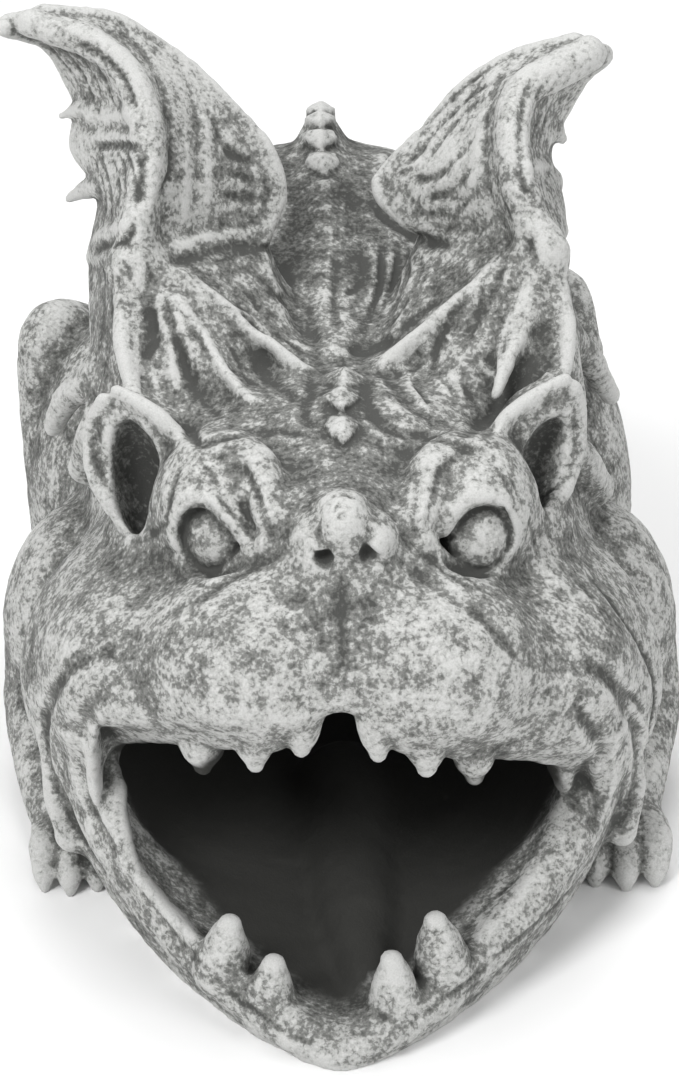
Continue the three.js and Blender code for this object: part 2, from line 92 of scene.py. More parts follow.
class Clay:
    def __init__(self, low, high, pitch):
        self.low, self.pitch = np.array(low, float), pitch
        self.axes = [np.arange(a, b, pitch, dtype=np.float32) for a, b in zip(low, high)]
        self.d = np.full([len(a) for a in self.axes], FAR, np.float32)

    def window(self, low, high, margin):
        cut = []
        for axis, a, b in zip(self.axes, low, high):
            i = np.searchsorted(axis, [a - margin, b + margin])
            cut.append(slice(int(i[0]), int(i[1])))
        x, y, z = (axis[s] for axis, s in zip(self.axes, cut))
        return tuple(cut), x[:, None, None], y[None, :, None], z[None, None, :]

    def add(self, form, melt=3.0):
        cut, x, y, z = self.window(form.low, form.high, melt + SPARE)
        self.d[cut] = smooth_low(self.d[cut], form.field(x, y, z), melt)

    def cut(self, form, melt=2.0):
        cut, x, y, z = self.window(form.low, form.high, melt + SPARE)
        self.d[cut] = -smooth_low(-self.d[cut], form.field(x, y, z), melt)

    def add_mesh(self, mesh, melt):
        """Melts a closed mesh, in metres, into the clay."""
        mesh.calc_loop_triangles()
        corners = np.zeros(len(mesh.loop_triangles) * 3, np.int32)
        mesh.loop_triangles.foreach_get("vertices", corners)
        co = np.zeros(len(mesh.vertices) * 3, np.float32)
        mesh.vertices.foreach_get("co", co)
        points = (co.reshape(-1, 3) * 1000 - self.low) / self.pitch
        grid = openvdb.FloatGrid.createLevelSetFromPolygons(
            points.astype(np.float32), triangles=corners.reshape(-1, 3).astype(np.uint32),
            transform=openvdb.createLinearTransform(1.0), halfWidth=BAND,
        )
        low = np.maximum(np.floor(points.min(0)).astype(int) - int(BAND), 0)
        high = np.minimum(np.ceil(points.max(0)).astype(int) + int(BAND) + 1, self.d.shape)
        field = np.full(high - low, BAND, np.float32)
        grid.copyToArray(field, ijk=tuple(int(v) for v in low))
        cut = tuple(slice(a, b) for a, b in zip(low, high))
        self.d[cut] = smooth_low(self.d[cut], field * self.pitch, melt)

    def roughen(self, step, amount, seed):
        """Small uneven swellings all over, about one step wide."""
        draw = np.random.default_rng(seed)
        lattice = draw.uniform(-1, 1,
            [int(len(a) * self.pitch / step) + 3 for a in self.axes]).astype(np.float32)
        for k, axis in enumerate(self.axes):
            g = (axis - axis[0]) / step
            i = g.astype(int)
            f = (g - i).astype(np.float32)
            f = f * f * (3 - 2 * f)
            shape = [1, 1, 1]
            shape[k] = -1
            f = f.reshape(shape)
            lattice = np.take(lattice, i, k) * (1 - f) + np.take(lattice, i + 1, k) * f
        self.d += lattice * amount

    def press(self, strokes):
        """Sends points of the board along the sight lines onto the clay."""
        uv = np.array(strokes, float)
        board = AIM + uv[:, :1] * RIGHT + uv[:, 1:2] * UP
        way = board - EYE
        way /= np.linalg.norm(way, axis=1)[:, None]
        t = np.full(len(uv), SIGHT_FROM)
        done = np.zeros(len(uv), bool)
        for _ in range(SIGHT_STEPS):
            d = self.sample(EYE + way * t[:, None])
            done |= d <= 0
            t = np.where(done, t, t + np.clip(d, SHORT_STEP, LONG_STEP))
            if done.all() or t.min() > SIGHT_TO:
                break
        return EYE + way * t[:, None], done

    def sample(self, points, grid=None):
        grid = self.d if grid is None else grid
        g = (points - self.low) / self.pitch
        top = np.array(grid.shape) - 2
        inside = ((g >= 0) & (g <= top)).all(1)
        g = np.clip(g, 0, top)
        i = g.astype(int)
        f = g - i
        value = np.zeros(len(points))
        for corner in range(8):
            o = np.array([corner & 1, corner >> 1 & 1, corner >> 2 & 1])
            w = np.prod(np.where(o, f, 1 - f), axis=1)
            j = i + o
            value += w * grid[j[:, 0], j[:, 1], j[:, 2]]
        return np.where(inside, value, OUTSIDE)

    def carve(self, points, width, depth):
        """Sinks a groove of that half width and depth along a line, or raises a ridge where
        the depth is below zero. Width and depth may run along the line as lists."""
        p = np.array(points, float)
        n = len(p)
        w, h = spread(width, n), spread(depth, n)
        reach = GROOVE_REACH * w.max()
        cut, x, y, z = self.window(p.min(0), p.max(0), reach)
        near, wide, deep = along(p, (w, h), x, y, z)
        self.d[cut] += deep * np.exp(-((near / wide) ** 2) * GROOVE_FALL)

    def stroke(self, line, width, depth, steps=5):
        """Carves along a line drawn on the board."""
        uv = curve(line, steps)
        p, hit = self.press(uv)
        n = len(uv)
        w, h = spread(width, n), spread(depth, n)
        from_end = np.minimum(np.arange(n), np.arange(n)[::-1])
        ends = np.clip(from_end / max(n * TAPER, 1), THIN_END, 1)
        # A line breaks where it runs off one form onto another far behind it.
        gap = np.linalg.norm(np.diff(p, axis=0), axis=1) > JUMP
        start = 0
        for stop in list(np.nonzero(gap)[0] + 1) + [n]:
            part = slice(start, stop)
            if stop - start > 1 and hit[part].all():
                self.carve(p[part], list(w[part]), list(h[part] * ends[part]))
            start = stop


def spread(value, n):
    value = np.atleast_1d(np.array(value, float))
    return np.interp(np.linspace(0, 1, n), np.linspace(0, 1, len(value)), value)


def along(p, extras, x, y, z):
    """Distance to a polyline, with values that run along it."""
    near = None
    for i in range(len(p) - 1):
        a, b = p[i], p[i + 1]
        ab = b - a
        size = max(float(ab @ ab), 1e-9)
        t = ((x - a[0]) * ab[0] + (y - a[1]) * ab[1] + (z - a[2]) * ab[2]) / size
        t = np.clip(t, 0, 1).astype(np.float32)
        q = (x - a[0] - t * ab[0]) ** 2 + (y - a[1] - t * ab[1]) ** 2 + (z - a[2] - t * ab[2]) ** 2
        values = [e[i] + t * (e[i + 1] - e[i]) for e in extras]
        if near is None:
            near, kept = q, values
        else:
            closer = q < near
            near = np.where(closer, q, near)
            kept = [np.where(closer, v, k) for v, k in zip(values, kept)]
    return [np.sqrt(near)] + kept


def curve(points, steps=6):
    """A smooth line through the points (Catmull-Rom)."""
    p = np.array(points, float)
    if len(p) < 3:
        t = np.linspace(0, 1, steps + 1)[:, None]
        return p[0] * (1 - t) + p[-1] * t
    q = np.vstack([2 * p[0] - p[1], p, 2 * p[-1] - p[-2]])
    out = []
    for i in range(1, len(q) - 2):
        t = np.arange(steps)[:, None] / steps
        a, b, c, d = q[i - 1 : i + 3]
        out.append(
            0.5 * (2 * b + (c - a) * t + (2 * a - 5 * b + 4 * c - d) * t**2 + (3 * b - a - 3 * c + d) * t**3)
        )
    return np.vstack(out + [p[-1:]])


# ---- simple forms ----

def lump(centre, radii, turn=(0, 0, 0)):
    c, r = np.array(centre, float), np.array(radii, float)
    m = Matrix.Rotation(math.radians(turn[2]), 3, "Z") @ Matrix.Rotation(math.radians(turn[1]), 3, "Y")
    m = np.array((m @ Matrix.Rotation(math.radians(turn[0]), 3, "X")).transposed())
    half = np.sqrt(((m.T * r) ** 2).sum(1))

    def field(x, y, z):
        x, y, z = x - c[0], y - c[1], z - c[2]
        u = [(m[i, 0] * x + m[i, 1] * y + m[i, 2] * z) / r[i] for i in range(3)]
        k0 = np.sqrt(u[0] ** 2 + u[1] ** 2 + u[2] ** 2)
        k1 = np.sqrt((u[0] / r[0]) ** 2 + (u[1] / r[1]) ** 2 + (u[2] / r[2]) ** 2)
        return k0 * (k0 - 1) / np.maximum(k1, 1e-6)

    return Form(c - half, c + half, field)


def limb(points, radii, steps=6):
    """A tapered limb along a curve."""
    p = curve(points, steps)
    r = spread(radii, len(p))
    low, high = p.min(0) - r.max(), p.max(0) + r.max()

    def field(x, y, z):
        near, radius = along(p, (r,), x, y, z)
        return near - radius

    return Form(low, high, field)


def trunk(sections, power, reach=0.0):
    """A long form from sections square to Y: y, middle, half width, bottom, top."""
    s = curve(sections, 8)
    y0, y1 = s[0, 0] - reach, s[-1, 0] + reach
    half = s[:, 2].max()

    def field(x, y, z):
        mid, wide, bottom, top = (np.interp(y, s[:, 0], s[:, i]).astype(np.float32) for i in range(1, 5))
        cz, high = (bottom + top) / 2, (top - bottom) / 2
        dx, dz = x - mid, z - cz
        f = (np.abs(dx / wide) ** power + np.abs(dz / high) ** power) ** (1 / power)
        f = np.maximum(f, 1e-3)
        d = np.sqrt(dx * dx + dz * dz) * (1 - 1 / f)
        d = np.where(f < 0.2, -np.minimum(wide, high) * (1 - f), d)
        return np.maximum(d, np.maximum(y0 - y, y - y1))

    return Form((s[:, 1].min() - half, y0, s[:, 3].min()), (s[:, 1].max() + half, y1, s[:, 4].max()), field)


def block(points):
    """The solid wrapped tightly round the points."""
    bm = bmesh.new()
    for p in points:
        bm.verts.new(p)
    bmesh.ops.convex_hull(bm, input=bm.verts)
    planes = {tuple(round(v, 3) for v in (*f.normal, f.normal.dot(f.verts[0].co))) for f in bm.faces}
    bm.free()
    p = np.array(points, float)

    def field(x, y, z):
        d = None
        for a, b, c, far in planes:
            e = a * x + b * y + c * z - far
            d = e if d is None else np.maximum(d, e)
        return d

    return Form(p.min(0), p.max(0), field)


def skin(clay, points, radii, melt=2.5):
    """Lays a sheet of clay: many small balls side by side."""
    p, r = np.array(points, float), spread(radii, len(points)) if np.ndim(radii) < 2 else radii
    r = np.broadcast_to(r, len(p))
    margin = melt + BALL_SPARE
    cut, _, _, _ = clay.window(p.min(0), p.max(0), r.max() + margin + clay.pitch)
    x, y, z = (axis[s] for axis, s in zip(clay.axes, cut))
    field = np.full((len(x), len(y), len(z)), FAR, np.float32)
    for (px, py, pz), radius in zip(p, r):
        e = radius + margin
        i0, i1 = np.searchsorted(x, [px - e, px + e])
        j0, j1 = np.searchsorted(y, [py - e, py + e])
        k0, k1 = np.searchsorted(z, [pz - e, pz + e])
        q = (x[i0:i1, None, None] - px) ** 2 + (y[None, j0:j1, None] - py) ** 2 + (z[None, None,
            k0:k1] - pz) ** 2
        part = field[i0:i1, j0:j1, k0:k1]
        np.minimum(part, np.sqrt(q) - radius, out=part)
    clay.d[cut] = smooth_low(clay.d[cut], field, melt)


def web(edge_a, edge_b, thick, sag, spacing=1.3):
    """Points and radii of a curved skin between two edges."""
    a, b = curve(edge_a, 10), curve(edge_b, 10)
    n = len(a)
    b = np.array([[np.interp(i / (n - 1), np.linspace(0, 1, len(b)),
        b[:, k]) for k in range(3)] for i in range(n)])
    length = np.linalg.norm(np.diff(a, axis=0), axis=1).sum()
    width = np.linalg.norm(a - b, axis=1).max()
    rows, columns = int(max(length, 10) / spacing), int(max(width, 6) / spacing)
    s, t = np.meshgrid(np.linspace(0, 1, rows), np.linspace(0, 1, columns), indexing="ij")
    s, t = s.ravel(), t.ravel()
    ia = s * (n - 1)
    pa = np.stack([np.interp(ia, np.arange(n), a[:, k]) for k in range(3)], 1)
    pb = np.stack([np.interp(ia, np.arange(n), b[:, k]) for k in range(3)], 1)
    p = pa * (1 - t[:, None]) + pb * t[:, None]
    p += np.array(sag, float) * (4 * t * (1 - t))[:, None]
    return p, np.full(len(p), thick / 2.0)


# ---- the beast ----

def jaw_hull():
    """The lower jaw from outside: pointed in front, and wider as it rises from the ground."""
    power, middle, top = 1.38, -80.0, 90
    wide_at_ground, widening, widening_height = 92, 25, 34
    reach, reach_gain, behind = 119, 0.2, 60.0

    def field(x, y, z):
        flare = widening * (1 - np.exp(-np.maximum(z, 0) / widening_height))
        wide = wide_at_ground + flare
        long = np.where(y < middle, reach + reach_gain * flare, behind)
        f = (np.abs((x - 1) / wide) ** power + np.abs((y - middle) / long) ** power) ** (1 / power)
        f = np.maximum(f, 1e-3)
        d = np.sqrt((x - 1) ** 2 + (y - middle) ** 2) * (1 - 1 / f) * 0.9
        return np.maximum(d, z - top)

    return Form((-118, -206, -10), (120, -18, 90), field)


def gape():
    """The wedge taken out in front between the upper lip and the rim of the jaw."""
    tilt = math.atan2(14, 190)  # one corner of the mouth is 14 mm lower, 190 mm away
    height, middle, half = 70, 4, 94
    outline = [(-95, 72), (-95, 78), (-150, 113), (-250, 176), (-250, -22)]

    def field(x, y, z):
        zz = height + (z - height) * math.cos(tilt) + x * math.sin(tilt)
        d = None
        for (y0, z0), (y1, z1) in zip(outline, outline[1:] + outline[:1]):
            size = math.hypot(y1 - y0, z1 - z0)
            e = ((z1 - z0) * (y - y0) - (y1 - y0) * (zz - z0)) / size
            d = e if d is None else np.maximum(d, e)
        return np.maximum(d, np.abs(x - middle) - half)

    return Form((-104, -206, -20), (112, -93, 180), field)


def jaw_bowl():
    """The inside of the lower jaw, from its tip to the throat."""
    half = [3, 24, 46, 66, 80, 86]
    rows = []
    for i, w in enumerate(half):
        y = -196 + (i / 5) ** 1.5 * 100
        rows.append((y, 0, w, 16 - 4 * math.sin(math.pi * i / 5), 48 + (y + 195) * 0.66))
    return trunk(rows, 1.55)


GULLET = [
    (-137, 0, 58, 18, 108),
    (-118, 0, 72, 18, 118),
    (-98, 0, 86, 18, 128),
    (-55, 0, 94, 20, 150),
    (20, 0, 94, 28, 172),
    (100, -3, 80, 36, 186),
    (145, -4, 76, 38, 188),
    (186, -2, 70, 40, 166),
]


def pipe_opening():
    """The opening in the rear face: 116 by 106 mm, with round corners."""
    corner, half_width, half_height, middle, depth = 12, 46, 41, 97, 175

    def field(x, y, z):
        qx, qz = np.abs(x) - half_width, np.abs(z - middle) - half_height
        d = np.sqrt(np.maximum(qx, 0) ** 2 + np.maximum(qz, 0) ** 2)
        d = d + np.minimum(np.maximum(qx, qz), 0) - corner
        return np.maximum(d, depth - y)

    return Form((-60, 172, 40), (60, 215, 154), field)


def body(clay):
    clay.add(
        trunk(
            [
                (-40, 0, 94, -60, 184),
                (0, 0, 106, -60, 196),
                (40, -2, 108, -60, 201),
                (80, -6, 102, -60, 212),
                (125, -9, 97, -60, 225),
                (165, -6, 93, -60, 214),
                (200, -3, 90, -60, 182),
            ],
            2.4,
            6,
        )
    )
    for side in (-1, 1):
        clay.add(lump((side * 105, 14, 68), (34, 42, 50), (0, -6 * side, 0)), 8)
    clay.add(lump((-94, 100, 88), (41, 64, 74), (12, 6, 0)), 10)
    clay.add(lump((87, 96, 88), (39, 60, 74), (12, -6, 0)), 10)
    for leg in LEGS:
        clay.add(limb(*leg), 7)


def head(clay):
    clay.add(lump((0, -48, 92), (116, 96, 76)), 10)
    clay.add(lump((1, -46, 140), (91, 69, 62)), 10)
    clay.add(lump((-80, -56, 84), (45, 48, 56), (0, 0, -8)), 8)
    clay.add(lump((82, -54, 80), (45, 48, 56), (0, 0, 8)), 8)
    clay.add(jaw_hull(), 8)
    for side in (-1, 1):
        clay.add(lump((side * 62, -94, 110), (50, 46, 39), (0, 0, side * 14)), 14)
        clay.add(lump((side * 32 + 1, -124, 131), (42, 37, 34), (0, 0, side * 8)), 11)
    clay.add(lump((1, -101, 134), (58, 52, 40)), 14)
    clay.add(lump((1, -98, 168), (27, 33, 26)), 14)
    clay.cut(gape(), 8)
    clay.cut(lump((1, -156, 100), (13, 36, 26)), 10)


def brows(clay):
    clay.add(lump((1, -119, 187), (9.5, 12, 12)), 8)
    for x, z in ((-9, 179), (12, 180)):
        clay.add(lump((x, -120, z), (7, 9, 8)), 7)
    for x, z in ((-5.5, 178), (10, 179)):
        clay.cut(lump((x, -131, z), (3.6, 7, 3.4)), 2.5)
    for x, z in ((-46, 170), (50, 171)):
        clay.add(lump((x, -77, z), (23, 31, 28)), 7)
    for x, z in ((-45, 172), (49, 172)):
        clay.cut(lump((x, -105, z), (16.5, 14, 14.5), (-21, 0, 0)), 2.5)
    for points, radii, melt in HOODS:
        clay.add(limb(points, radii), melt)
    for x, z in ((-44.5, 167), (50, 167)):
        clay.add(lump((x, -94, z), (13, 13, 13.4)), 0.5)
    for points, radii, melt in LIDS:
        clay.add(limb(points, radii), melt)


HOODS = [
    ([(-64, -76, 158), (-60, -76, 175), (-50, -76, 188), (-39, -78, 193), (-30, -88, 192), (-25, -106, 182)],
     (5, 6, 7, 8, 8, 6), 7),
    ([(70, -72, 158), (65, -74, 175), (55, -76, 187), (43, -78, 192), (34, -88, 191), (29, -106, 182)],
     (5, 6, 7, 8, 8, 6), 7),
    ([(-64, -82, 156), (-50, -98, 151), (-37, -107, 161), (-28, -111, 173)], (4, 5, 5, 4), 4),
    ([(67, -80, 154), (54, -97, 151), (40, -107, 161), (31, -110, 174)], (4, 5, 5, 4), 4),
]

LIDS = [
    ([(-56, -94, 184), (-47, -98, 185), (-39, -103, 180), (-33, -108, 172)], (3, 4, 4, 3), 3),
    ([(38, -104, 176), (43, -101, 183), (51, -97, 186), (60, -93, 183)], (3, 3.6, 4, 3), 3),
]

LEGS = [
    ([(-112, 28, 60), (-121, 4, 36), (-118, -34, 22), (-110, -62, 14)], (23, 19, 14, 13)),
    ([(112, 28, 60), (122, 4, 38), (120, -30, 24), (115, -56, 14)], (23, 20, 15, 13)),
    ([(-100, 150, 110), (-122, 118, 146), (-126, 104, 118), (-124, 92, 96)], (20, 14, 12, 10)),
    ([(80, 112, 140), (92, 90, 178), (100, 76, 158)], (20, 11, 10)),
    ([(-100, 140, 60), (-116, 120, 30), (-114, 84, 14), (-112, 64, 12)], (22, 17, 13, 12)),
    ([(100, 140, 60), (114, 120, 30), (114, 84, 14), (112, 64, 12)], (22, 17, 13, 12)),
]


def feet(clay):
    for x, y, width, reach in ((-107, -64, 30, 25), (114, -60, 34, 26), (-114, 64, 34, 28),
        (114, 64, 34, 28)):
        for k in (-1, 0, 1):
            side = x + k * width / 2.9
            front = y - reach * (1 if k == 0 else 0.9)
            toe = [(x + (side - x) * 0.6, y + 8, 13), (side, y - reach * 0.4, 14), (side, front + 3, 6),
                (side, front, 1)]
            clay.add(limb(toe, (width / 3.6, width / 4.4, width / 6, 2.2)), 2.5)


LIP_LEFT = [(-92, -92, 80), (-76, -107, 92), (-60, -122, 103), (-44, -136, 110), (-26, -146, 116)]
LIP_RIGHT = [(98, -92, 66), (85, -105, 81), (71, -116, 93), (55, -129, 103), (28, -146, 115)]
RIM = [
    (-99, -94, 62), (-90, -113, 45), (-76, -131, 32), (-58, -153, 21), (-33, -177, 12), (-2, -193, 6),
    (28, -181, 11), (52, -158, 19), (72, -136, 29), (91, -112, 42), (101, -92, 54),
]
FOLD_LEFT = [(-105, -92, 30), (-108, -88, 50), (-107, -84, 68), (-103, -82, 84), (-94, -86, 98),
    (-80, -96, 110)]
FOLD_RIGHT = [(111, -88, 30), (112, -84, 48), (109, -82, 65), (103, -82, 80), (94, -88, 94), (80, -98, 106)]


def mouth(clay):
    clay.cut(trunk(GULLET, 2.5), 5)
    clay.cut(jaw_bowl(), 4)
    clay.cut(pipe_opening(), 2)
    clay.add(limb(LIP_LEFT, (6, 6, 7, 7, 7)), 12)
    clay.add(limb(LIP_RIGHT, (6, 6, 7, 7, 7)), 12)
    clay.add(limb(RIM, 4.5), 7)
    clay.add(limb(FOLD_LEFT, (6, 8, 8, 8, 7, 6)), 6)
    clay.add(limb(FOLD_RIGHT, (6, 8, 8, 8, 7, 6)), 6)
    clay.add(limb([(2, -40, 14), (4, -90, 12), (8, -130, 12), (11, -160, 13)], (22, 18, 16, 9)), 6)
    for t in UPPER_TEETH + LOWER_TEETH:
        clay.add(tooth_form(t), 2)


UPPER_TEETH = [
    (-51, -133, 87, 10), (-31, -147, 98, 9), (-14, -151, 107, 8.5), (14, -152, 106, 8.5),
    (32, -149, 97, 9), (50, -138, 86, 9.5), (86, -104, 60, 7),
]
LOWER_TEETH = [(-40, -166, 47, -11), (-24, -176, 36, -10.5), (19, -178, 39, -10.5), (35, -167, 49, -11)]


def tooth_form(place):
    """A blunt tooth. A radius below zero stands for a lower one, which points up."""
    x, y, z, r = place
    if r > 0:
        return tooth((x, y, z), (x * 0.99, y + 3, z + 17), r, 3.6)
    return tooth((x, y, z), (x * 1.1, y + 1, z - 26), -r, 4.6)


def tooth(tip, root, radius, blunt):
    tip, root = np.array(tip, float), np.array(root, float)
    long = np.linalg.norm(root - tip)
    share = np.array([blunt / long, 0.45, 0.75, 1.0])
    points = tip + (root - tip) * share[:, None]
    return limb(points, (blunt, radius * 0.72, radius * 0.92, radius), 3)


EARS = [
    dict(
        side=-1,
        inner=[(-84, -46, 203), (-75, -51, 200), (-66, -56, 195), (-58, -60, 185), (-60, -62, 166)],
        outer=[(-90, -44, 198), (-94, -42, 187), (-94, -46, 170), (-86, -60, 160), (-70, -70, 152)],
        hollow=((-76, -60, 171), (11, 18, 27), (0, -15, 0)),
    ),
    dict(
        side=1,
        inner=[(85, -46, 208), (74, -50, 203), (64, -55, 197), (57, -60, 188), (59, -62, 168)],
        outer=[(89, -45, 204), (91, -42, 192), (90, -46, 174), (83, -58, 163), (68, -68, 156)],
        hollow=((77, -60, 178), (9, 17, 21), (0, 22, 0)),
    ),
]


def ears(clay):
    for ear in EARS:
        edge = ear["inner"] + ear["outer"]
        behind = [(x * 0.93, y + 15, z - 6) for x, y, z in edge]
        clay.add(block(edge + behind), 5)
        clay.add(limb(ear["inner"], (2.2, 3, 3.2, 3.2, 3)), 3)
        clay.add(limb(ear["outer"], (2.2, 3.2, 3.6, 3.6, 3.4)), 3)
        clay.cut(lump(*ear["hollow"]), 3)


WINGS = [
    dict(
        out=-1,
        finger=(4.5, 5.5, 5.5, 6, 6.5, 7, 7.5),
        lead=[(-120, 60, 309), (-96, 53, 303), (-81, 43, 292), (-74, 31, 275), (-75, 20, 259),
            (-78, 11, 245), (-80, 5, 230)],
        sail=[(-114, 66, 311), (-88, 72, 305), (-64, 74, 288), (-47, 70, 273), (-30, 65, 254),
            (-25, 58, 237), (-31, 46, 223)],
        outer=[(-131, 62, 306), (-117, 78, 295), (-109, 80, 282), (-103, 78, 266), (-105, 74, 251),
            (-94, 68, 233), (-99, 58, 210)],
        spurs=[([(-96, 62, 272), (-104, 72, 268), (-112, 80, 262)], (4, 3.5, 1.4)),
               ([(-94, 56, 242), (-102, 66, 236), (-110, 74, 228)], (5, 4, 1.6))],
        feet=[[(-80, 5, 230), (-60, -16, 212), (-35, -42, 196)],
            [(-78, 6, 230), (-50, -2, 218), (-15, -20, 198)],
              [(-80, 5, 230), (-84, -18, 212), (-78, -40, 196)]],
        root=[(-86, 6, 232), (-72, 6, 236), (-32, 48, 226), (-20, 40, 200), (-12, -16, 188),
            (-34, -40, 190), (-76, -40, 188),
              (-98, 0, 172), (-102, 56, 204), (-96, 64, 232), (-40, 74, 240), (-60, 92, 200), (-90, 90, 176)],
    ),
    dict(
        out=1,
        finger=(7, 7, 6.5, 6, 6.5, 7, 7.5),
        lead=[(97, 60, 296), (84, 52, 292), (71, 44, 287), (67, 32, 277), (68, 20, 264), (72, 12, 251),
            (79, 5, 237)],
        sail=[(92, 68, 298), (69, 72, 290), (50, 72, 277), (34, 68, 259), (17, 62, 241), (23, 53, 232),
            (36, 44, 226)],
        outer=[(104, 67, 292), (99, 74, 284), (94, 78, 275), (85, 78, 256), (82, 74, 247), (86, 68, 236),
            (88, 60, 222)],
        spurs=[([(78, 60, 262), (86, 72, 258), (90, 80, 252)], (4, 3.5, 2)),
               ([(80, 56, 244), (86, 66, 240), (89, 74, 233)], (4, 3.5, 1.6))],
        feet=[[(79, 5, 236), (70, -16, 216), (59, -44, 199)], [(77, 6, 236), (50, -2, 220), (18, -16, 199)],
              [(79, 5, 234), (88, -16, 214), (84, -36, 196)]],
        root=[(86, 6, 236), (72, 6, 240), (36, 48, 228), (22, 40, 202), (14, -14, 190), (34, -40, 188),
            (80, -38, 188),
              (98, 0, 172), (92, 58, 204), (86, 64, 232), (40, 74, 236), (56, 92, 200), (88, 90, 176)],
    ),
]


def wings(clay):
    for w in WINGS:
        clay.add(block(w["root"]), 9)
        p, r = web(w["lead"], w["sail"], 7, (0, 5, 0))
        skin(clay, p, r, 3)
        p, r = web(w["lead"], w["outer"], 7, (w["out"] * 3, 4, 0))
        skin(clay, p, r, 3)
        clay.add(limb(w["lead"], w["finger"]), 5)
        x, y, z = w["lead"][-1]
        clay.add(lump((x, y, z), (8.5, 8.5, 8.5)), 7)
        for line, radii in w["spurs"]:
            clay.add(limb(line, radii), 3)
        for line in w["feet"]:
            clay.add(limb(line, (3.6, 3, 2.2)), 8)


def spine(clay):
    clay.add(limb([(-6, 176, 208), (-8, 145, 226), (-7, 105, 216), (-4, 50, 197), (-2, 0, 191)],
        (9, 8, 7, 6, 5)), 9)


# Rows of scales: the line that they follow, how many, and their size at both ends.
SCALE_ROWS = [
    ([(-8, 168, 226), (-8, 150, 233), (-8, 132, 232), (-7, 112, 224), (-5, 88, 213), (-4, 66, 204)], 9, 7.5,
        9.0, 1.0),
    ([(2, -30, 197), (1, -48, 200), (1, -68, 198), (2, -84, 190)], 4, 10.0, 5.5, 1.35),
]


def scale_shape():
    """One scale that points along +X, its root at the origin and its tip raised."""
    outline = [(-0.7, 0.0), (-0.45, 0.62), (0.1, 0.82), (0.55, 0.6), (1.15, 0.0)]
    outline += [(x, -y) for x, y in outline[-2:0:-1]]
    lift = [0.1, 0.2, 0.3, 0.36, 0.5, 0.36, 0.3, 0.2]
    verts = [(x, y, h) for (x, y), h in zip(outline, lift)] + [(x * 0.8, y * 0.9, -0.75) for x, y in outline]
    top, foot = len(verts), len(verts) + 1
    verts += [(0.15, 0, 0.78), (0, 0, -0.9)]
    n = len(outline)
    faces = []
    for i in range(n):
        j = (i + 1) % n
        faces += [(j, i, top), (i, j, n + j, n + i), (n + i, n + j, foot)]
    mesh = bpy.data.meshes.new("scale_shape")
    mesh.from_pydata(verts, [], faces)
    bm = bmesh.new()
    bm.from_mesh(mesh)
    bmesh.ops.recalc_face_normals(bm, faces=bm.faces)
    bm.to_mesh(mesh)
    bm.free()
    return mesh


def scale_tree(pattern, material):
    """Geometry nodes that set a row of scales on a curve, each pointing along it."""
    tree = bpy.data.node_groups.new("row_of_scales", "GeometryNodeTree")
    face = tree.interface
    face.new_socket("Line", in_out="INPUT", socket_type="NodeSocketGeometry")
    sockets = {}
    for name, kind, value in (
        ("Count", "NodeSocketInt", 8), ("First size", "NodeSocketFloat", 0.01), ("Last size",
            "NodeSocketFloat", 0.01),
        ("Stretch", "NodeSocketFloat", 1.0), ("Unevenness", "NodeSocketFloat", 0.1), ("Seed",
            "NodeSocketInt", 3),
    ):
        s = face.new_socket(name, in_out="INPUT", socket_type=kind)
        s.default_value = value
        sockets[name] = s.identifier
    face.new_socket("Scales", in_out="OUTPUT", socket_type="NodeSocketGeometry")
    given = node(tree, "NodeGroupInput").outputs
    line = node(tree, "GeometryNodeResampleCurve", {"Curve": given["Line"], "Count": given["Count"]})
    along_row = node(tree, "GeometryNodeSplineParameter").outputs["Factor"]
    size = node(tree, "ShaderNodeMapRange",
                {"Value": along_row, "To Min": given["First size"],
                    "To Max": given["Last size"]}).outputs["Result"]
    low = node(tree, "ShaderNodeMath", {0: 1.0, 1: given["Unevenness"]}, operation="SUBTRACT").outputs[0]
    high = node(tree, "ShaderNodeMath", {0: 1.0, 1: given["Unevenness"]}, operation="ADD").outputs[0]
    uneven = node(tree, "FunctionNodeRandomValue", data_type="FLOAT")
    tree.links.new(low, uneven.inputs[2])
    tree.links.new(high, uneven.inputs[3])
    tree.links.new(given["Seed"], uneven.inputs["Seed"])
    size = node(tree, "ShaderNodeMath", {0: size, 1: uneven.outputs[1]}, operation="MULTIPLY").outputs[0]
    long = node(tree, "ShaderNodeMath", {0: size, 1: given["Stretch"]}, operation="MULTIPLY").outputs[0]
    measure = node(tree, "ShaderNodeCombineXYZ", {"X": long, "Y": size, "Z": size}).outputs[0]
    turn = node(tree, "FunctionNodeAlignRotationToVector",
                {"Vector": node(tree, "GeometryNodeInputTangent").outputs[0]}, axis="X")
    upright = node(tree, "FunctionNodeAlignRotationToVector",
                   {"Rotation": turn.outputs[0], "Vector": (0, 0, 1)}, axis="Z", pivot_axis="X")
    shape = node(tree, "GeometryNodeObjectInfo", {"Object": pattern})
    row = node(tree, "GeometryNodeInstanceOnPoints", {
        "Points": line.outputs[0], "Instance": shape.outputs["Geometry"],
        "Rotation": upright.outputs[0], "Scale": measure,
    })
    solid = node(tree, "GeometryNodeRealizeInstances", {"Geometry": row.outputs[0]})
    finish = node(tree, "GeometryNodeSetMaterial", {"Geometry": solid.outputs[0], "Material": material})
    out = tree.nodes.new("NodeGroupOutput")
    tree.links.new(finish.outputs[0], out.inputs[0])
    return tree, sockets


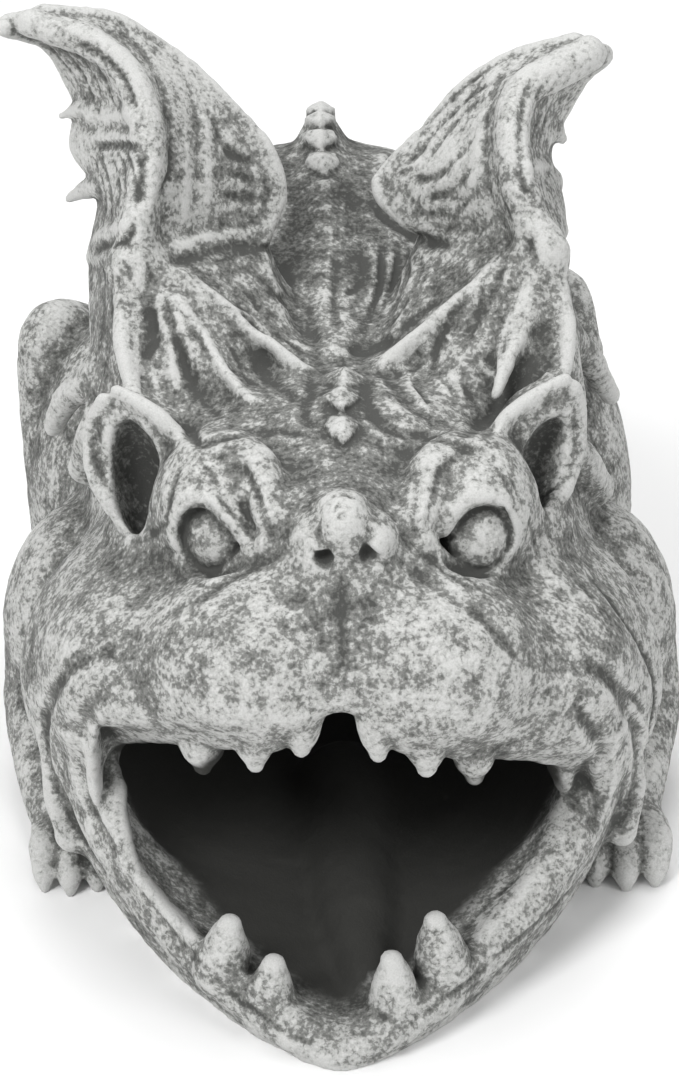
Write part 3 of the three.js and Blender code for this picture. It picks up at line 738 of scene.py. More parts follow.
def scales(clay, material):
    """Bakes the rows of scales and melts them into the clay."""
    pattern = bpy.data.objects.new("scale_shape", scale_shape())
    bpy.context.scene.collection.objects.link(pattern)
    tree, sockets = scale_tree(pattern, material)
    for line, count, first, last, stretch in SCALE_ROWS:
        data = bpy.data.curves.new("row_of_scales", "CURVE")
        data.dimensions = "3D"
        points = curve(line, 8) * 0.001
        spline = data.splines.new("POLY")
        spline.points.add(len(points) - 1)
        for item, p in zip(spline.points, points):
            item.co = (*p, 1)
        row = bpy.data.objects.new("row_of_scales", data)
        bpy.context.scene.collection.objects.link(row)
        m = row.modifiers.new("scales", "NODES")
        m.node_group = tree
        given = {"Count": count, "First size": first * 0.001, "Last size": last * 0.001, "Stretch": stretch}
        for name, value in given.items():
            m[sockets[name]] = value
        mesh = bpy.data.meshes.new_from_object(row.evaluated_get(bpy.context.evaluated_depsgraph_get()))
        clay.add_mesh(mesh, 0.8)
        bpy.data.objects.remove(row)
        bpy.data.meshes.remove(mesh)
    bpy.data.objects.remove(pattern)


FLANK_RIBS = [
    ([(-76, 6, 200), (-96, 12, 180), (-109, 20, 165), (-116, 28, 148)], (4, 6, 6, 4)),
    ([(-80, 0, 176), (-96, 0, 162), (-103, 8, 140)], (5, 7, 6)),
    ([(72, 25, 202), (88, 35, 188), (101, 45, 171), (112, 56, 148)], (4, 6, 6, 4)),
    ([(80, -14, 168), (95, -4, 152), (105, 10, 130)], (5, 7, 6)),
]


# Lines carved on the wings: half width, depth (raised where below zero), line on the board.
WING_LINES = [
    # left: groove between the finger and the sail
    (2.6, 1.5, [(-92, 205.5), (-84.5, 202), (-77.5, 194.5), (-72.5, 184.5), (-69.5, 172), (-67.5, 161),
        (-68.5, 148.5), (-72.5, 137.5), (-75, 128.5)]),
    # left: edge of the finger over the outer skin
    (2.2, 2.0, [(-112, 203), (-103, 199.5), (-95, 194.5), (-88.5, 188), (-84.5, 180), (-82, 172)]),
    (2.4, 2.6, [(-80, 158), (-80, 149.5), (-80.5, 140.5), (-82.5, 134)]),
    (2.0, 1.6, [(-83, 129.5), (-84.5, 122.5), (-87, 116.5)]),
    # left: strands of the outer skin
    (0.9, 1.1, [(-120, 200.5), (-114, 195), (-107.5, 186.5), (-103, 178), (-101.5, 174.5)]),
    (0.9, 1.2, [(-116, 201), (-109.5, 195), (-103, 186), (-99.5, 178), (-99, 174)]),
    (0.9, 1.2, [(-112, 201), (-105.5, 195), (-99, 186), (-96, 178), (-95, 174)]),
    (0.9, 1.3, [(-108, 201), (-101.5, 195), (-95, 186), (-92, 178), (-90.5, 174.5)]),
    (0.9, 1.3, [(-104, 200.5), (-97.5, 194), (-92, 186), (-88.5, 178), (-87.5, 175.5)]),
    (0.9, 1.3, [(-100, 198), (-94.5, 192.5), (-88.5, 184.5), (-85.5, 177), (-84.5, 174.5)]),
    (1.0, 1.4, [(-93.5, 193), (-88.5, 188.5), (-84.5, 180), (-82, 174)]),
    (3.4, -1.6, [(-104, 166.5), (-97, 169.5), (-88.5, 170.5), (-81.5, 172)]),
    (2.6, -1.2, [(-105, 161), (-97, 162.5), (-88.5, 161.5), (-81.5, 161.5)]),
    (1.8, 2.0, [(-98.5, 158), (-92.5, 159), (-86.5, 159), (-80, 157)]),
    (0.9, 1.2, [(-101.5, 156), (-97.5, 149.5), (-95, 140.5), (-94, 131.5)]),
    (1.0, 1.6, [(-97, 157), (-95, 149.5), (-92.5, 140.5), (-92, 131)]),
    (0.9, 1.4, [(-93.5, 157), (-90.5, 149.5), (-89, 140.5), (-90, 132.5)]),
    (0.9, 1.2, [(-90, 157), (-87, 149.5), (-86.5, 140.5), (-87.5, 133.5)]),
    (1.1, 1.7, [(-86.5, 157), (-84, 150.5), (-83, 142), (-85.5, 134)]),
    (1.0, 1.5, [(-83, 157), (-80.5, 149.5), (-81, 141.5), (-83.5, 135)]),
    (3.0, -1.5, [(-100, 120.5), (-94.5, 123.5), (-88.5, 126), (-83, 129.5)]),
    (1.8, 1.9, [(-100, 114), (-95, 118), (-89.5, 119), (-85.5, 122)]),
    (0.9, 1.1, [(-97.5, 113), (-95, 106.5), (-94.5, 96)]),
    (0.9, 1.0, [(-94, 115.5), (-92, 108.5), (-92, 96)]),
    (0.8, 0.9, [(-89.5, 114), (-88.5, 107.5), (-89.5, 99.5)]),
    # left: soft ridges and hollows of the sail
    (2.2, -0.7, [(-66, 184.5), (-63, 169), (-62, 153), (-62, 136.5), (-64.5, 123.5)]),
    (2.4, -0.6, [(-58, 183.5), (-54, 169), (-53, 153), (-53.5, 134.5), (-55, 124.5)]),
    (2.0, 0.6, [(-61, 185), (-58.5, 169), (-57.5, 150.5), (-59, 130.5)]),
    (1.6, 0.8, [(-56.5, 179), (-51.5, 169.5), (-47.5, 161), (-42.5, 153.5)]),
    (2.8, 1.5, [(-47.5, 160), (-43.5, 155), (-38, 153), (-33, 153)]),
    (2.2, 1.0, [(-47.5, 148), (-40, 146.5), (-32, 144)]),
    (2.8, 1.5, [(-47.5, 139), (-40, 138), (-31.5, 137)]),
    (2.2, 1.1, [(-31.5, 152), (-29.5, 142.5), (-30.5, 132.5), (-33.5, 125.5)]),
    (1.6, 0.6, [(-46.5, 130.5), (-40, 131.5), (-34, 130)]),
    (2.6, -1.3, [(-72.5, 116), (-63.5, 119), (-54.5, 121.5), (-44, 123), (-35.5, 123.5), (-28, 127.5)]),
    (3.2, 1.8, [(-71, 110.5), (-62, 113), (-53, 115.5), (-43.5, 117.5), (-33.5, 119)]),
    (1.4, 1.1, [(-55, 110), (-47.5, 112.5), (-40, 115), (-32, 116.5), (-27.5, 119.5)]),
    (3.0, -0.9, [(-33.5, 169.5), (-27.5, 157.5), (-23, 148), (-22, 136.5), (-24, 126), (-29, 118)]),
    # left: knob
    (1.4, 1.0, [(-86.5, 111.5), (-84.5, 107.5), (-85.5, 103.5)]),
    (1.5, 1.2, [(-78, 111.5), (-76.5, 107.5), (-77, 102.5)]),
    # right: groove inside the finger and long strokes of the sail
    (2.8, 1.3, [(68, 190.5), (62.5, 181), (59.5, 169.5), (58.5, 157), (59.5, 142.5), (64, 130.5)]),
    (1.6, 1.5, [(67, 193), (57, 187.5), (46.5, 179), (36.5, 169.5), (26, 160.5), (21, 154.5)]),
    (1.6, 1.3, [(65, 186), (55, 180), (45.5, 171.5), (36, 161.5), (28.5, 153)]),
    (1.8, 1.7, [(35, 158.5), (31, 154.5), (27.5, 151.5)]),
    (1.7, 1.2, [(57.5, 177), (50.5, 172), (44, 164), (37.5, 156), (32.5, 149.5)]),
    (2.0, 2.2, [(29.5, 146.5), (34, 145), (39, 146.5), (44, 148.5)]),
    (1.5, 1.2, [(23, 147), (27.5, 148.5), (31, 149.5)]),
    (1.5, 0.9, [(56, 164), (50.5, 157), (44.5, 150.5), (38, 143)]),
    (1.6, 1.1, [(57, 153), (52, 147), (45.5, 140.5), (36.5, 138)]),
    (1.6, 1.3, [(35, 137.5), (43, 138), (49.5, 136.5)]),
    (1.5, 0.9, [(57, 143), (52.5, 136.5), (46.5, 131)]),
    (1.4, 0.8, [(26.5, 130.5), (36.5, 131.5), (47, 130), (57, 128.5)]),
    (2.4, -0.9, [(61.5, 178.5), (57, 165), (54.5, 150.5), (52.5, 134.5)]),
    (3.0, -1.2, [(39, 174.5), (28.5, 163.5), (19.5, 156), (14.5, 146.5), (15.5, 137.5), (23, 131)]),
    (3.0, -1.0, [(23, 130.5), (34.5, 125.5), (44.5, 122), (56, 122), (69, 123.5)]),
    (3.2, 3.0, [(13, 135.5), (18, 130), (24.5, 125.5), (34, 120.5), (43, 118)]),
    (1.4, 0.8, [(65, 140.5), (68, 132.5), (70.5, 126)]),
    (1.4, 1.0, [(73.5, 125.5), (75.5, 118), (76, 111.5)]),
    (2.0, 1.8, [(76, 123.5), (78, 116.5), (79.5, 109)]),
    # right: outer skin
    (2.0, 1.8, [(79, 188.5), (75.5, 180), (73.5, 169.5), (73, 157), (74, 144.5), (78, 133.5)]),
    (0.9, 1.0, [(91.5, 190.5), (86, 182), (81, 172), (78, 161), (77, 153.5)]),
    (0.9, 1.0, [(95.5, 191.5), (90, 182), (84, 171.5), (81, 161), (80, 153)]),
    (0.9, 0.9, [(87.5, 190), (82, 182), (77.5, 172), (75.5, 161)]),
    (2.4, -1.3, [(73.5, 148.5), (79.5, 150.5), (86, 150.5)]),
    (0.9, 0.9, [(77, 145.5), (78.5, 138), (82.5, 130)]),
    (0.9, 0.9, [(81.5, 147), (82.5, 140), (84.5, 131.5)]),
]

# Finger ridges, veins and hollows of the skin that drapes from the wings to the neck.
DRAPE_LINES = [
    (4.0, 2.0, [(-47.5, 96), (-40, 84), (-31.5, 75), (-24, 69.5)]),
    (4.6, 2.4, [(-60.5, 89), (-55, 76), (-48.5, 64), (-41, 53.5)]),
    (3.2, 2.0, [(-69.5, 94), (-65.5, 80), (-62, 67), (-58, 56.5)]),
    (4.0, 1.6, [(-31.5, 105), (-22.5, 96), (-16, 87.5), (-11, 79)]),
    (4.0, 1.8, [(-37, 75), (-29.5, 66.5), (-21.5, 59), (-16, 55)]),
    (2.2, -1.9, [(-57, 104.5), (-50.5, 98.5), (-42, 92), (-33.5, 86.5), (-28, 80), (-20, 73.5),
        (-12.5, 68.5)]),
    (2.0, -1.8, [(-70, 100), (-63.5, 94), (-57, 85.5), (-51.5, 76), (-46, 67), (-40, 59), (-36, 56)]),
    (1.5, -1.3, [(-73.5, 94), (-71.5, 86.5), (-69.5, 80), (-67.5, 72), (-65.5, 62), (-60.5, 56.5)]),
    (1.3, -1.0, [(-68.5, 96), (-65.5, 89.5), (-63, 81.5)]),
    (1.8, -1.4, [(-82, 96), (-82, 84), (-82, 72), (-81.5, 57.5)]),
    (2.6, 2.4, [(-76, 94.5), (-76, 87.5), (-75.5, 79)]),
    (1.2, 1.6, [(-72.5, 80), (-76.5, 76), (-78, 72)]),
    (1.2, -1.1, [(-76.5, 71), (-75, 64.5), (-72.5, 57.5)]),
    (1.4, 1.0, [(-65.5, 78.5), (-63, 71), (-60.5, 63)]),
    (1.2, 0.8, [(-58, 84), (-54, 76), (-51.5, 69.5)]),
    (1.4, 1.0, [(-45, 79), (-42, 73.5), (-38.5, 68)]),
    (1.2, -0.8, [(-24, 84), (-20, 80), (-15, 77.5), (-11, 76)]),
    (1.1, 0.9, [(-22.5, 81), (-18.5, 77), (-13.5, 74.5)]),
    (1.2, 0.7, [(-39.5, 100), (-34.5, 95.5), (-31.5, 89)]),
    (1.4, 0.8, [(-21.5, 107.5), (-18.5, 100), (-17, 92)]),
    (1.1, -0.6, [(-36, 102), (-28, 101), (-21.5, 99.5)]),
    (1.0, 0.7, [(-35.5, 69.5), (-31.5, 64), (-29.5, 57.5)]),
    (1.0, -0.6, [(-28, 67), (-24, 62), (-20, 56)]),
    (1.1, 0.9, [(-42, 62), (-38, 55), (-33.5, 49.5)]),
    (1.3, 1.0, [(-55, 57.5), (-52.5, 52.5), (-47.5, 48.5)]),
    (1.1, 0.8, [(-56.5, 67), (-59, 64), (-60.5, 59)]),
    (2.6, 2.6, [(-63, 46), (-59, 41), (-55, 38), (-47.5, 40.5), (-38, 42)]),
    (1.3, 1.4, [(-60.5, 46), (-58, 41), (-56.5, 37)]),
    (2.4, 1.0, [(-36, 43.5), (-24, 43), (-13.5, 41)]),
    (3.0, 1.6, [(-11, 67), (-12, 59), (-13.5, 51), (-10.5, 43)]),
    # right
    (2.4, -1.9, [(65, 116.5), (54.5, 102.5), (45.5, 96), (36.5, 87.5), (28.5, 81), (20.5, 75), (13, 71)]),
    (1.6, 1.2, [(43, 97), (36.5, 93), (31, 88), (27, 85)]),
    (1.8, 1.8, [(51, 96), (45.5, 90.5), (41.5, 84), (39, 75), (38, 67)]),
    (1.4, 1.8, [(44, 85.5), (42.5, 82.5)]),
    (4.0, 2.0, [(60, 96), (53.5, 84), (49.5, 75)]),
    (2.2, -1.7, [(77, 103.5), (73.5, 94.5), (68, 85), (65.5, 76), (65, 67), (65, 59)]),
    (1.8, -1.2, [(60, 81.5), (58.5, 76), (57.5, 71), (61.5, 65.5), (65, 62)]),
    (1.3, -1.0, [(43, 84), (47, 76), (51, 71), (52.5, 67)]),
    (1.2, 0.9, [(45.5, 79), (49.5, 73.5), (53.5, 69.5)]),
    (1.2, -1.0, [(44.5, 68), (48, 60.5), (50.5, 55)]),
    (1.2, 1.0, [(51, 60), (54.5, 55), (58.5, 51)]),
    (1.4, -0.9, [(26, 69.5), (28.5, 62), (32.5, 56.5), (36.5, 51)]),
    (1.3, 1.1, [(29.5, 64), (33.5, 57.5), (38, 51.5)]),
    (1.3, -0.8, [(37.5, 65.5), (41.5, 60.5), (45.5, 56.5)]),
    (1.3, -0.7, [(16.5, 56.5), (23, 52.5), (27.5, 48.5)]),
    (4.4, 2.0, [(19, 66.5), (24.5, 59), (31, 52.5), (40.5, 47.5)]),
    (4.2, 3.0, [(65, 56.5), (60, 50), (54.5, 44.5), (47, 41)]),
    (3.0, 2.2, [(64, 55), (61, 47.5), (59, 39.5)]),
    (3.4, 1.6, [(13, 65.5), (11.5, 57.5), (14, 49.5), (21, 43.5), (32.5, 40.5)]),
    (3.0, 1.4, [(23, 43.5), (35, 41), (47, 38), (59, 35)]),
    (1.6, 1.0, [(67.5, 111.5), (64, 104.5), (62.5, 96)]),
    (1.3, 0.8, [(58.5, 103.5), (57, 96), (56, 89)]),
    # the folded skin beside the spine
    (1.8, 1.3, [(17, 121), (17, 111.5), (16.5, 102.5), (14, 94), (9, 84)]),
    (1.4, 1.0, [(23.5, 119), (23, 109), (20.5, 99.5), (16.5, 91.5)]),
    (1.4, 1.1, [(27.5, 98), (24.5, 91.5), (21, 85.5)]),
    (1.8, 1.4, [(40.5, 96), (34, 92), (28.5, 88), (24.5, 84)]),
    (1.3, 0.8, [(9, 120.5), (9, 111.5), (10.5, 104.5)]),
    (1.4, -0.8, [(13, 119), (14, 109), (13, 100), (10, 91.5)]),
    (1.4, -0.8, [(20.5, 120.5), (20.5, 111.5), (19, 102), (14.5, 91.5)]),
    (1.4, -0.8, [(26, 116.5), (26, 106.5), (23.5, 98), (19.5, 90.5)]),
    (1.3, 0.9, [(32.5, 115.5), (32.5, 107.5), (29.5, 99.5)]),
    (1.3, -0.7, [(29.5, 116.5), (29.5, 108.5), (27, 99.5)]),
    (1.3, -0.7, [(37.5, 111.5), (36.5, 104.5), (32.5, 97)]),
    (4.6, 3.0, [(2.5, 77.5), (9, 76), (16.5, 78.5), (23, 80)]),
    (2.4, 1.4, [(-2, 116.5), (-1.5, 104.5), (-2, 92), (-0.5, 81.5)]),
    (2.4, 1.0, [(-12.5, 96), (-10.5, 86.5), (-8.5, 77.5)]),
    (1.6, 1.4, [(2.5, 98), (6.5, 101), (10, 104.5)]),
]

FACE_LINES = [
    # left eye: folds between hood and nose
    (1.6, 1.8, [(-40, 30.5), (-37, 26), (-33.5, 18), (-31.5, 9.5), (-29.5, 1)]),
    (1.2, 0.9, [(-34.5, 23.5), (-31, 14.5), (-28, 5), (-27.5, -3)]),
    (1.4, 1.3, [(-56.5, 30.5), (-51.5, 26), (-48.5, 20)]),
    (1.5, 1.9, [(-51.5, 19.5), (-46, 13.5), (-40, 6.5), (-34, -1)]),
    (1.2, 1.0, [(-41, 15.5), (-37, 9), (-33, 2.5)]),
    (1.3, 1.0, [(-46.5, -17), (-40, -13), (-33.5, -8), (-29, -4)]),
    (1.6, 1.6, [(-63, -8), (-60.5, -11.5), (-57, -13.5)]),
    (1.2, 0.9, [(-58, -18), (-53, -20), (-47.5, -18)]),
    (1.4, 1.0, [(-71, -4), (-67.5, -5.5), (-63.5, -9)]),
    # right eye
    (1.5, 1.5, [(51, 35), (45.5, 31.5), (40.5, 27.5), (38.5, 19.5), (36.5, 10.5), (33.5, 2.5)]),
    (1.2, 0.9, [(31.5, 27.5), (31, 17), (30, 7.5), (31.5, -1)]),
    (1.5, 1.4, [(65, 27.5), (68, 22), (70.5, 14.5), (73.5, 7.5)]),
    (1.4, 1.6, [(63, 15.5), (67.5, 9), (69.5, 1.5), (68, -7.5)]),
    (1.1, 0.9, [(75.5, 9), (78.5, 1), (80, -9)]),
    (1.3, 1.0, [(34, -7.5), (40.5, -12), (48, -17), (54.5, -21)]),
    (1.0, 0.8, [(49.5, -14.5), (54.5, -18.5), (59, -22.5)]),
    (1.6, 1.4, [(46.5, -11.5), (53.5, -15), (61, -16)]),
    # ears
    (1.5, 1.2, [(-64.5, 27.5), (-67.5, 19.5), (-69.5, 10.5), (-70, 4)]),
    (1.3, 1.4, [(-76.5, 1.5), (-73.5, 3), (-70, 6.5)]),
    (1.2, 0.9, [(-98.5, 51), (-100, 41), (-99, 30.5), (-95, 22)]),
    (1.6, 1.2, [(69.5, 27.5), (70.5, 21), (73.5, 15.5)]),
    (1.2, 1.2, [(81, 16), (86, 19.5), (91.5, 24)]),
    # nose
    (2.0, 1.6, [(-8.5, 5), (-8, -1.5), (-4, -5.5)]),
    (2.0, 1.6, [(10.5, 5.5), (13, 1), (9, -5)]),
    (3.0, 1.0, [(2, -9.5), (1.5, -25), (1, -41), (-0.5, -61.5)]),
    (1.4, 1.0, [(-7, -7.5), (-11, -5), (-14.5, -1.5)]),
    (1.4, 1.0, [(13, -5.5), (17, -9), (19.5, -11.5)]),
    (1.6, 1.3, [(-5.5, 15.5), (1, 18), (7.5, 15.5)]),
    # upper edge of the muzzle
    (4.0, 1.6, [(-16, -3), (-27.5, -7.5), (-38, -13), (-47.5, -18.5), (-56.5, -25), (-64.5, -30)]),
    (4.0, 1.6, [(19.5, -9), (29.5, -13), (39, -19.5), (48.5, -26), (59, -33), (68, -43), (74.5, -52.5)]),
]

# Rolls of skin round the corners of the mouth, and lines that follow the jaw.
CHEEK_LINES = [
    (4.0, 5.2, [(-93.5, -45.5), (-102.5, -48.5), (-110.5, -53.5), (-116, -61.5), (-119, -70.5), (-120, -81),
        (-119, -91.5), (-115.5, -102), (-109.5, -112), (-102.5, -124), (-95, -135)]),
    (4.2, 5.6, [(-97, -65.5), (-102, -70), (-105.5, -77.5), (-106.5, -86.5), (-105.5, -96), (-103, -106),
        (-98.5, -116), (-92, -126)]),
    (1.0, 1.0, [(-102.5, -42.5), (-108, -47.5), (-113, -52.5)]),
    (1.0, 0.8, [(-95, -41), (-101.5, -44.5), (-105.5, -47.5)]),
    (1.0, 0.9, [(-112, -106), (-106.5, -116.5), (-99, -127)]),
    (1.0, 0.8, [(-101, -106), (-95, -116.5), (-87, -130)]),
    (4.0, 5.0, [(96.5, -51), (104.5, -53), (111, -58), (116, -66.5), (120, -75.5), (121.5, -85.5),
        (121.5, -96), (119, -106), (114, -115)]),
    (3.4, 4.4, [(96, -68.5), (100.5, -74.5), (104.5, -81.5), (107.5, -89.5), (107.5, -98), (106, -106),
        (102, -115)]),
    (2.2, 1.8, [(114, -61.5), (120, -65.5), (124, -72)]),
    (2.4, 2.2, [(103, -17), (110, -26.5), (116.5, -35), (122, -43.5), (126.5, -54), (128, -63),
        (126.5, -72), (124.5, -82.5), (121.5, -94)]),
    (1.0, 0.8, [(97, -18.5), (103.5, -26.5), (110, -36.5)]),
    (1.2, 0.9, [(110, -89.5), (109.5, -98), (106, -107.5)]),
    (1.6, 0.8, [(-85.5, -135), (-74, -151), (-58, -169.5), (-40, -186.5), (-20, -200.5), (-4, -207.5)]),
    (1.2, 0.9, [(-56.5, -175.5), (-47.5, -182.5), (-38, -189), (-31.5, -192.5)]),
    (1.2, 0.6, [(-88.5, -142), (-76.5, -158.5), (-60.5, -176.5), (-44, -193)]),
    (1.6, 0.8, [(103.5, -129.5), (89, -147), (69, -165), (49.5, -181), (29.5, -195.5), (13, -205.5)]),
    (1.2, 0.6, [(105.5, -138), (89, -156.5), (67, -172.5), (44.5, -188.5)]),
    (1.4, 0.7, [(81, -129.5), (69, -140), (57, -151), (47, -162.5)]),
]


def sculpt(material):
    clay = Clay((-146, -206, -6), (149, 207, 320), PITCH)
    body(clay)
    head(clay)
    spine(clay)
    for rib in FLANK_RIBS:
        clay.add(limb(*rib), 9)
    wings(clay)
    ears(clay)
    brows(clay)
    feet(clay)
    mouth(clay)
    scales(clay, material)
    for lines in (WING_LINES, DRAPE_LINES, FACE_LINES, CHEEK_LINES):
        for width, depth, line in lines:
            clay.stroke(line, width, depth)
    clay.roughen(7.0, 0.35, 11)
    clay.roughen(3.6, 0.3, 12)
    x, y, z = np.ix_(*clay.axes)
    # Level ground below, a flat rear face behind.
    clay.d = np.maximum(clay.d, np.maximum(-z, y - REAR)).astype(np.float32)
    return clay


# ---- from clay to mesh ----

def blurred(field, passes):
    f = field
    for _ in range(passes):
        for k in range(3):
            f = np.swapaxes(f, 0, k)
            g = f * 0.5
            g[1:-1] += (f[:-2] + f[2:]) * 0.25
            g[0] += f[0] * 0.5
            g[-1] += f[-1] * 0.5
            f = np.swapaxes(g, 0, k)
    return f


def to_mesh(clay, name):
    near = 3.0
    grid = openvdb.FloatGrid(near)
    grid.copyFromArray(np.clip(clay.d, -near, near), ijk=(0, 0, 0), tolerance=0.0)
    points, triangles, quads = grid.convertToPolygons(isovalue=0.0, adaptivity=0.0)
    points = (points * clay.pitch + clay.low) * 0.001
    mesh = bpy.data.meshes.new(name)
    faces = [tuple(int(v) for v in f) for f in (*triangles, *quads)]
    mesh.from_pydata([tuple(p) for p in points], [], faces)
    mesh.validate()
    return mesh


def thinned(obj, triangles):
    """Thins the mesh to that many triangles, most where it is plain."""
    mesh = obj.data
    mesh.calc_loop_triangles()
    total = len(mesh.loop_triangles)
    if total <= triangles:
        return
    m = obj.modifiers.new("thin", "DECIMATE")
    m.decimate_type = "COLLAPSE"
    m.ratio = triangles / total
    m.use_collapse_triangulate = True
    done = bpy.data.meshes.new_from_object(obj.evaluated_get(bpy.context.evaluated_depsgraph_get()))
    obj.modifiers.clear()
    obj.data = done
    bpy.data.meshes.remove(mesh)


def drop_bubbles(mesh):
    """Deletes every loose part but the largest, such as a bubble shut inside the clay."""
    bm = bmesh.new()
    bm.from_mesh(mesh)
    parts, seen = [], set()
    for start in bm.verts:
        if start in seen:
            continue
        part, front = [start], [start]
        seen.add(start)
        while front:
            for edge in front.pop().link_edges:
                for v in edge.verts:
                    if v not in seen:
                        seen.add(v)
                        part.append(v)
                        front.append(v)
        parts.append(part)
    parts.sort(key=len)
    for part in parts[:-1]:
        bmesh.ops.delete(bm, geom=part, context="VERTS")
    bm.to_mesh(mesh)
    bm.free()


def coordinates(mesh):
    co = np.zeros(len(mesh.vertices) * 3, np.float32)
    mesh.vertices.foreach_get("co", co)
    return co.reshape(-1, 3) * 1000.0


def store(mesh, name, values):
    layer = mesh.attributes.new(name, "FLOAT", "POINT")
    layer.data.foreach_set("value", np.asarray(values, np.float32))


# Where the pale brushing is heavier or, below zero, thinner, partly as painted shade that darkens the top of
# the head and the neck behind the brows: centre, reach, amount.
BRUSHING_AND_SHADE = [
    ((0, -60, 205), 34, -0.2), ((-40, -14, 206), 34, -0.12), ((40, -14, 206), 34, -0.12), ((0, 90, 226), 60,
        -0.2),
    ((-60, 60, 272), 44, 0.08), ((60, 60, 270), 44, 0.08), ((0, -125, 135), 46, 0.06), ((-112, -60, 70), 46,
        0.1),
    ((112, -60, 70), 46, 0.1), ((-100, 40, 150), 50, -0.1), ((100, 40, 150), 50, -0.1), ((-76, -60, 171),
        22, -0.2),
    ((77, -60, 176), 20, -0.12),
]


def brushing_and_shade(p):
    return sum(amount * np.exp(-((p - centre) ** 2).sum(1) / reach**2) for centre, reach, amount in BRUSHING_AND_SHADE)


def build_gargoyle(material):
    clay = sculpt(material)
    mesh = to_mesh(clay, "gargoyle_carving")
    obj = bpy.data.objects.new("gargoyle_carving", mesh)
    bpy.context.scene.collection.objects.link(obj)
    thinned(obj, TRIANGLES)
    mesh = obj.data
    drop_bubbles(mesh)
    p = coordinates(mesh)
    reach, fine_passes, broad_passes = 8, 3, 30
    narrow = np.clip(clay.d, -reach, reach)
    fine = blurred(narrow, fine_passes)
    store(mesh, "edge", clay.sample(p, fine) - clay.sample(p, narrow))
    broad = blurred(fine, broad_passes)
    hollow = np.minimum(trunk(GULLET, 2.5).field(*p.T), jaw_bowl().field(*p.T))
    rim = limb(RIM, 0).field(*p.T)
    # The painted shade inside the mouth starts some way inside the rim and leaves the lower teeth bare.
    bite = np.min([tooth_form(t).field(*p.T) for t in LOWER_TEETH], axis=0)
    inside = np.clip((5 - hollow) / 3, 0, 1) * np.clip((rim - 14) / 9, 0, 1)
    store(mesh, "mouth_shade", inside * np.clip((bite - 1) / 3, 0, 1))
    # swell: how far a point stands proud at a broad scale; the stone is darker where it is low, as painted
    # shade in the broad hollows.
    store(mesh, "swell", clay.sample(p, broad) - clay.sample(p, narrow))
    # Heavier or thinner brushing by place, partly painted shade behind the brows.
    store(mesh, "brushing_and_shade", brushing_and_shade(p))
    for f in mesh.polygons:
        f.use_smooth = True
    return obj


# ---- materials ----

def node(tree, kind, inputs=(), **settings):
    n = tree.nodes.new(kind)
    for key, value in settings.items():
        setattr(n, key, value)
    for key, value in dict(inputs).items():
        if isinstance(value, bpy.types.NodeSocket):
            tree.links.new(value, n.inputs[key])
        else:
            n.inputs[key].default_value = value
    return n


def plain(name, color, rough):
    m = bpy.data.materials.new(name)
    m.use_nodes = True
    shader = m.node_tree.nodes["Principled BSDF"]
    shader.inputs["Base Color"].default_value = (*color, 1)
    shader.inputs["Roughness"].default_value = rough
    return m


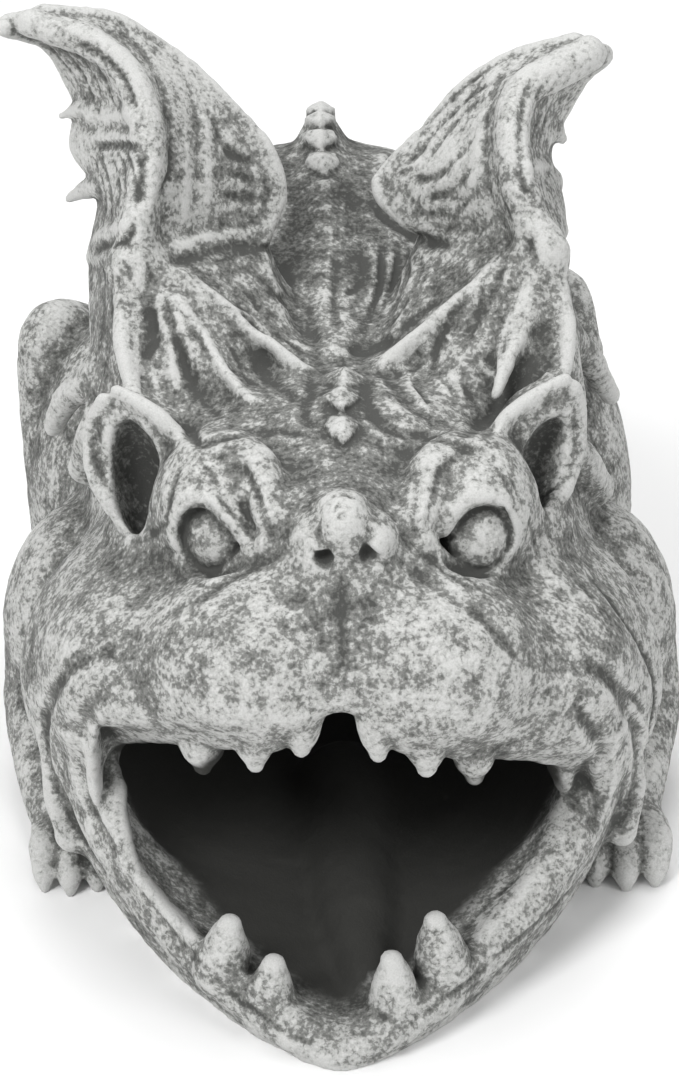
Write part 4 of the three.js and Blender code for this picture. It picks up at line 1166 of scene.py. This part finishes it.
def cast_stone():
    """Grey stone: dark in the hollows and dry-brushed nearly white where it stands proud, with painted shade
    in the broad hollows, behind the brows and inside the mouth.
    """
    m = bpy.data.materials.new("cast_stone")
    m.use_nodes = True
    tree = m.node_tree
    shader = tree.nodes["Principled BSDF"]
    place = node(tree, "ShaderNodeTexCoord").outputs["Object"]

    def noise(scale, detail, rough, twist=0.0):
        return node(
            tree, "ShaderNodeTexNoise",
            {"Vector": place, "Scale": scale, "Detail": detail, "Roughness": rough, "Distortion": twist},
        ).outputs["Fac"]

    def maths(operation, *values):
        n = node(tree, "ShaderNodeMath", operation=operation)
        for i, value in enumerate(values):
            if isinstance(value, (int, float)):
                n.inputs[i].default_value = value
            else:
                tree.links.new(value, n.inputs[i])
        return n.outputs[0]

    def ramp(value, *stops):
        n = node(tree, "ShaderNodeValToRGB", {"Fac": value})
        e = n.color_ramp.elements
        while len(e) < len(stops):
            e.new(0.5)
        for item, (at, shade) in zip(e, stops):
            item.position = at
            item.color = (*shade, 1) if isinstance(shade, tuple) else (shade, shade, shade, 1)
        return n.outputs["Color"]

    def attribute(name):
        return node(tree, "ShaderNodeAttribute", attribute_name=name).outputs["Fac"]

    edge, swell, mouth_shade = attribute("edge"), attribute("swell"), attribute("mouth_shade")
    worm = noise(520, 5, 0.62, 0.25)
    blot = noise(120, 4, 0.62, 0.15)
    grain = noise(1600, 3, 0.7)
    patch = noise(28, 3, 0.5)

    # Painted shade: the broad swell makes the broad hollows darker.
    high = maths("ADD", maths("MINIMUM", maths("MULTIPLY", edge, 0.9), 0.34), maths("MULTIPLY", swell, 0.1))
    brushed = maths("ADD", high, maths("MULTIPLY", maths("SUBTRACT", worm, 0.5), 1.9))
    brushed = maths("ADD", brushed, maths("MULTIPLY", maths("SUBTRACT", blot, 0.5), 1.3))
    brushed = maths("ADD", brushed, maths("MULTIPLY", maths("SUBTRACT", patch, 0.5), 0.9))
    # Brushing by place, partly painted shade that darkens the head and neck behind the brows.
    brushed = maths("ADD", brushed, maths("ADD", attribute("brushing_and_shade"), 0.45))
    paint = ramp(brushed, (0.0, (0.06, 0.061, 0.057)), (0.3, (0.15, 0.152, 0.144)),
        (0.5, (0.225, 0.228, 0.218)),
                 (0.6, (0.37, 0.373, 0.36)), (0.95, (0.54, 0.542, 0.53)))
    speck = ramp(grain, (0.3, 0.86), (0.7, 1.1))
    mixed = node(tree, "ShaderNodeMix", {"Factor": 1.0}, data_type="RGBA", blend_type="MULTIPLY")
    tree.links.new(paint, mixed.inputs["A"])
    tree.links.new(speck, mixed.inputs["B"])
    # Painted shade: nearly black inside the mouth, where little light reaches.
    dark = node(tree, "ShaderNodeMix", data_type="RGBA")
    tree.links.new(mouth_shade, dark.inputs["Factor"])
    tree.links.new(mixed.outputs["Result"], dark.inputs["A"])
    dark.inputs["B"].default_value = (0.03, 0.03, 0.027, 1)
    tree.links.new(dark.outputs["Result"], shader.inputs["Base Color"])
    shader.inputs["Roughness"].default_value = 0.86
    relief = maths("ADD", maths("MULTIPLY", worm, 0.8), maths("MULTIPLY", grain, 0.25))
    bump = node(tree, "ShaderNodeBump", {"Strength": 0.5, "Distance": 0.0008, "Height": relief})
    tree.links.new(bump.outputs["Normal"], shader.inputs["Normal"])
    return m


def camera():
    cam = bpy.data.cameras.new("camera")
    cam.sensor_fit, cam.sensor_width, cam.lens = "AUTO", 36, 107.63
    cam.clip_start, cam.clip_end = 0.05, 20
    obj = bpy.data.objects.new("camera", cam)
    obj.location = Vector(EYE) * 0.001
    obj.rotation_euler = (math.pi / 2 - TILT, 0, 0)
    bpy.context.scene.collection.objects.link(obj)
    bpy.context.scene.camera = obj


def soft_light(name, place, size, power, aim=(0, 0, 0.12)):
    lamp = bpy.data.lights.new(name, "AREA")
    lamp.shape, lamp.size, lamp.energy = "DISK", size, power
    obj = bpy.data.objects.new(name, lamp)
    obj.location = place
    obj.rotation_euler = (Vector(aim) - Vector(place)).to_track_quat("-Z", "Y").to_euler()
    bpy.context.scene.collection.objects.link(obj)


def studio():
    world = bpy.data.worlds.new("studio")
    world.use_nodes = True
    background = world.node_tree.nodes["Background"]
    background.inputs[0].default_value = (1, 1, 1, 1)
    background.inputs[1].default_value = 0.45
    bpy.context.scene.world = world
    bpy.context.scene.view_settings.view_transform = "Standard"
    soft_light("key", (-1.1, -1.3, 1.9), 1.0, 38)
    soft_light("fill", (1.6, -1.4, 1.2), 1.4, 14)
    soft_light("top", (0.1, 0.7, 2.0), 1.2, 20)
    mesh = bpy.data.meshes.new("floor")
    s = 6.0
    mesh.from_pydata([(-s, -s, 0), (s, -s, 0), (s, s, 0), (-s, s, 0)], [], [(0, 1, 2, 3)])
    floor = bpy.data.objects.new("floor", mesh)
    mesh.materials.append(plain("pale_floor", (0.93, 0.93, 0.93), 0.9))
    bpy.context.scene.collection.objects.link(floor)


camera()
stone = cast_stone()
beast = build_gargoyle(stone)
beast.data.materials.append(stone)
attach(beast, "root")
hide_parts("gargoyle")
studio()
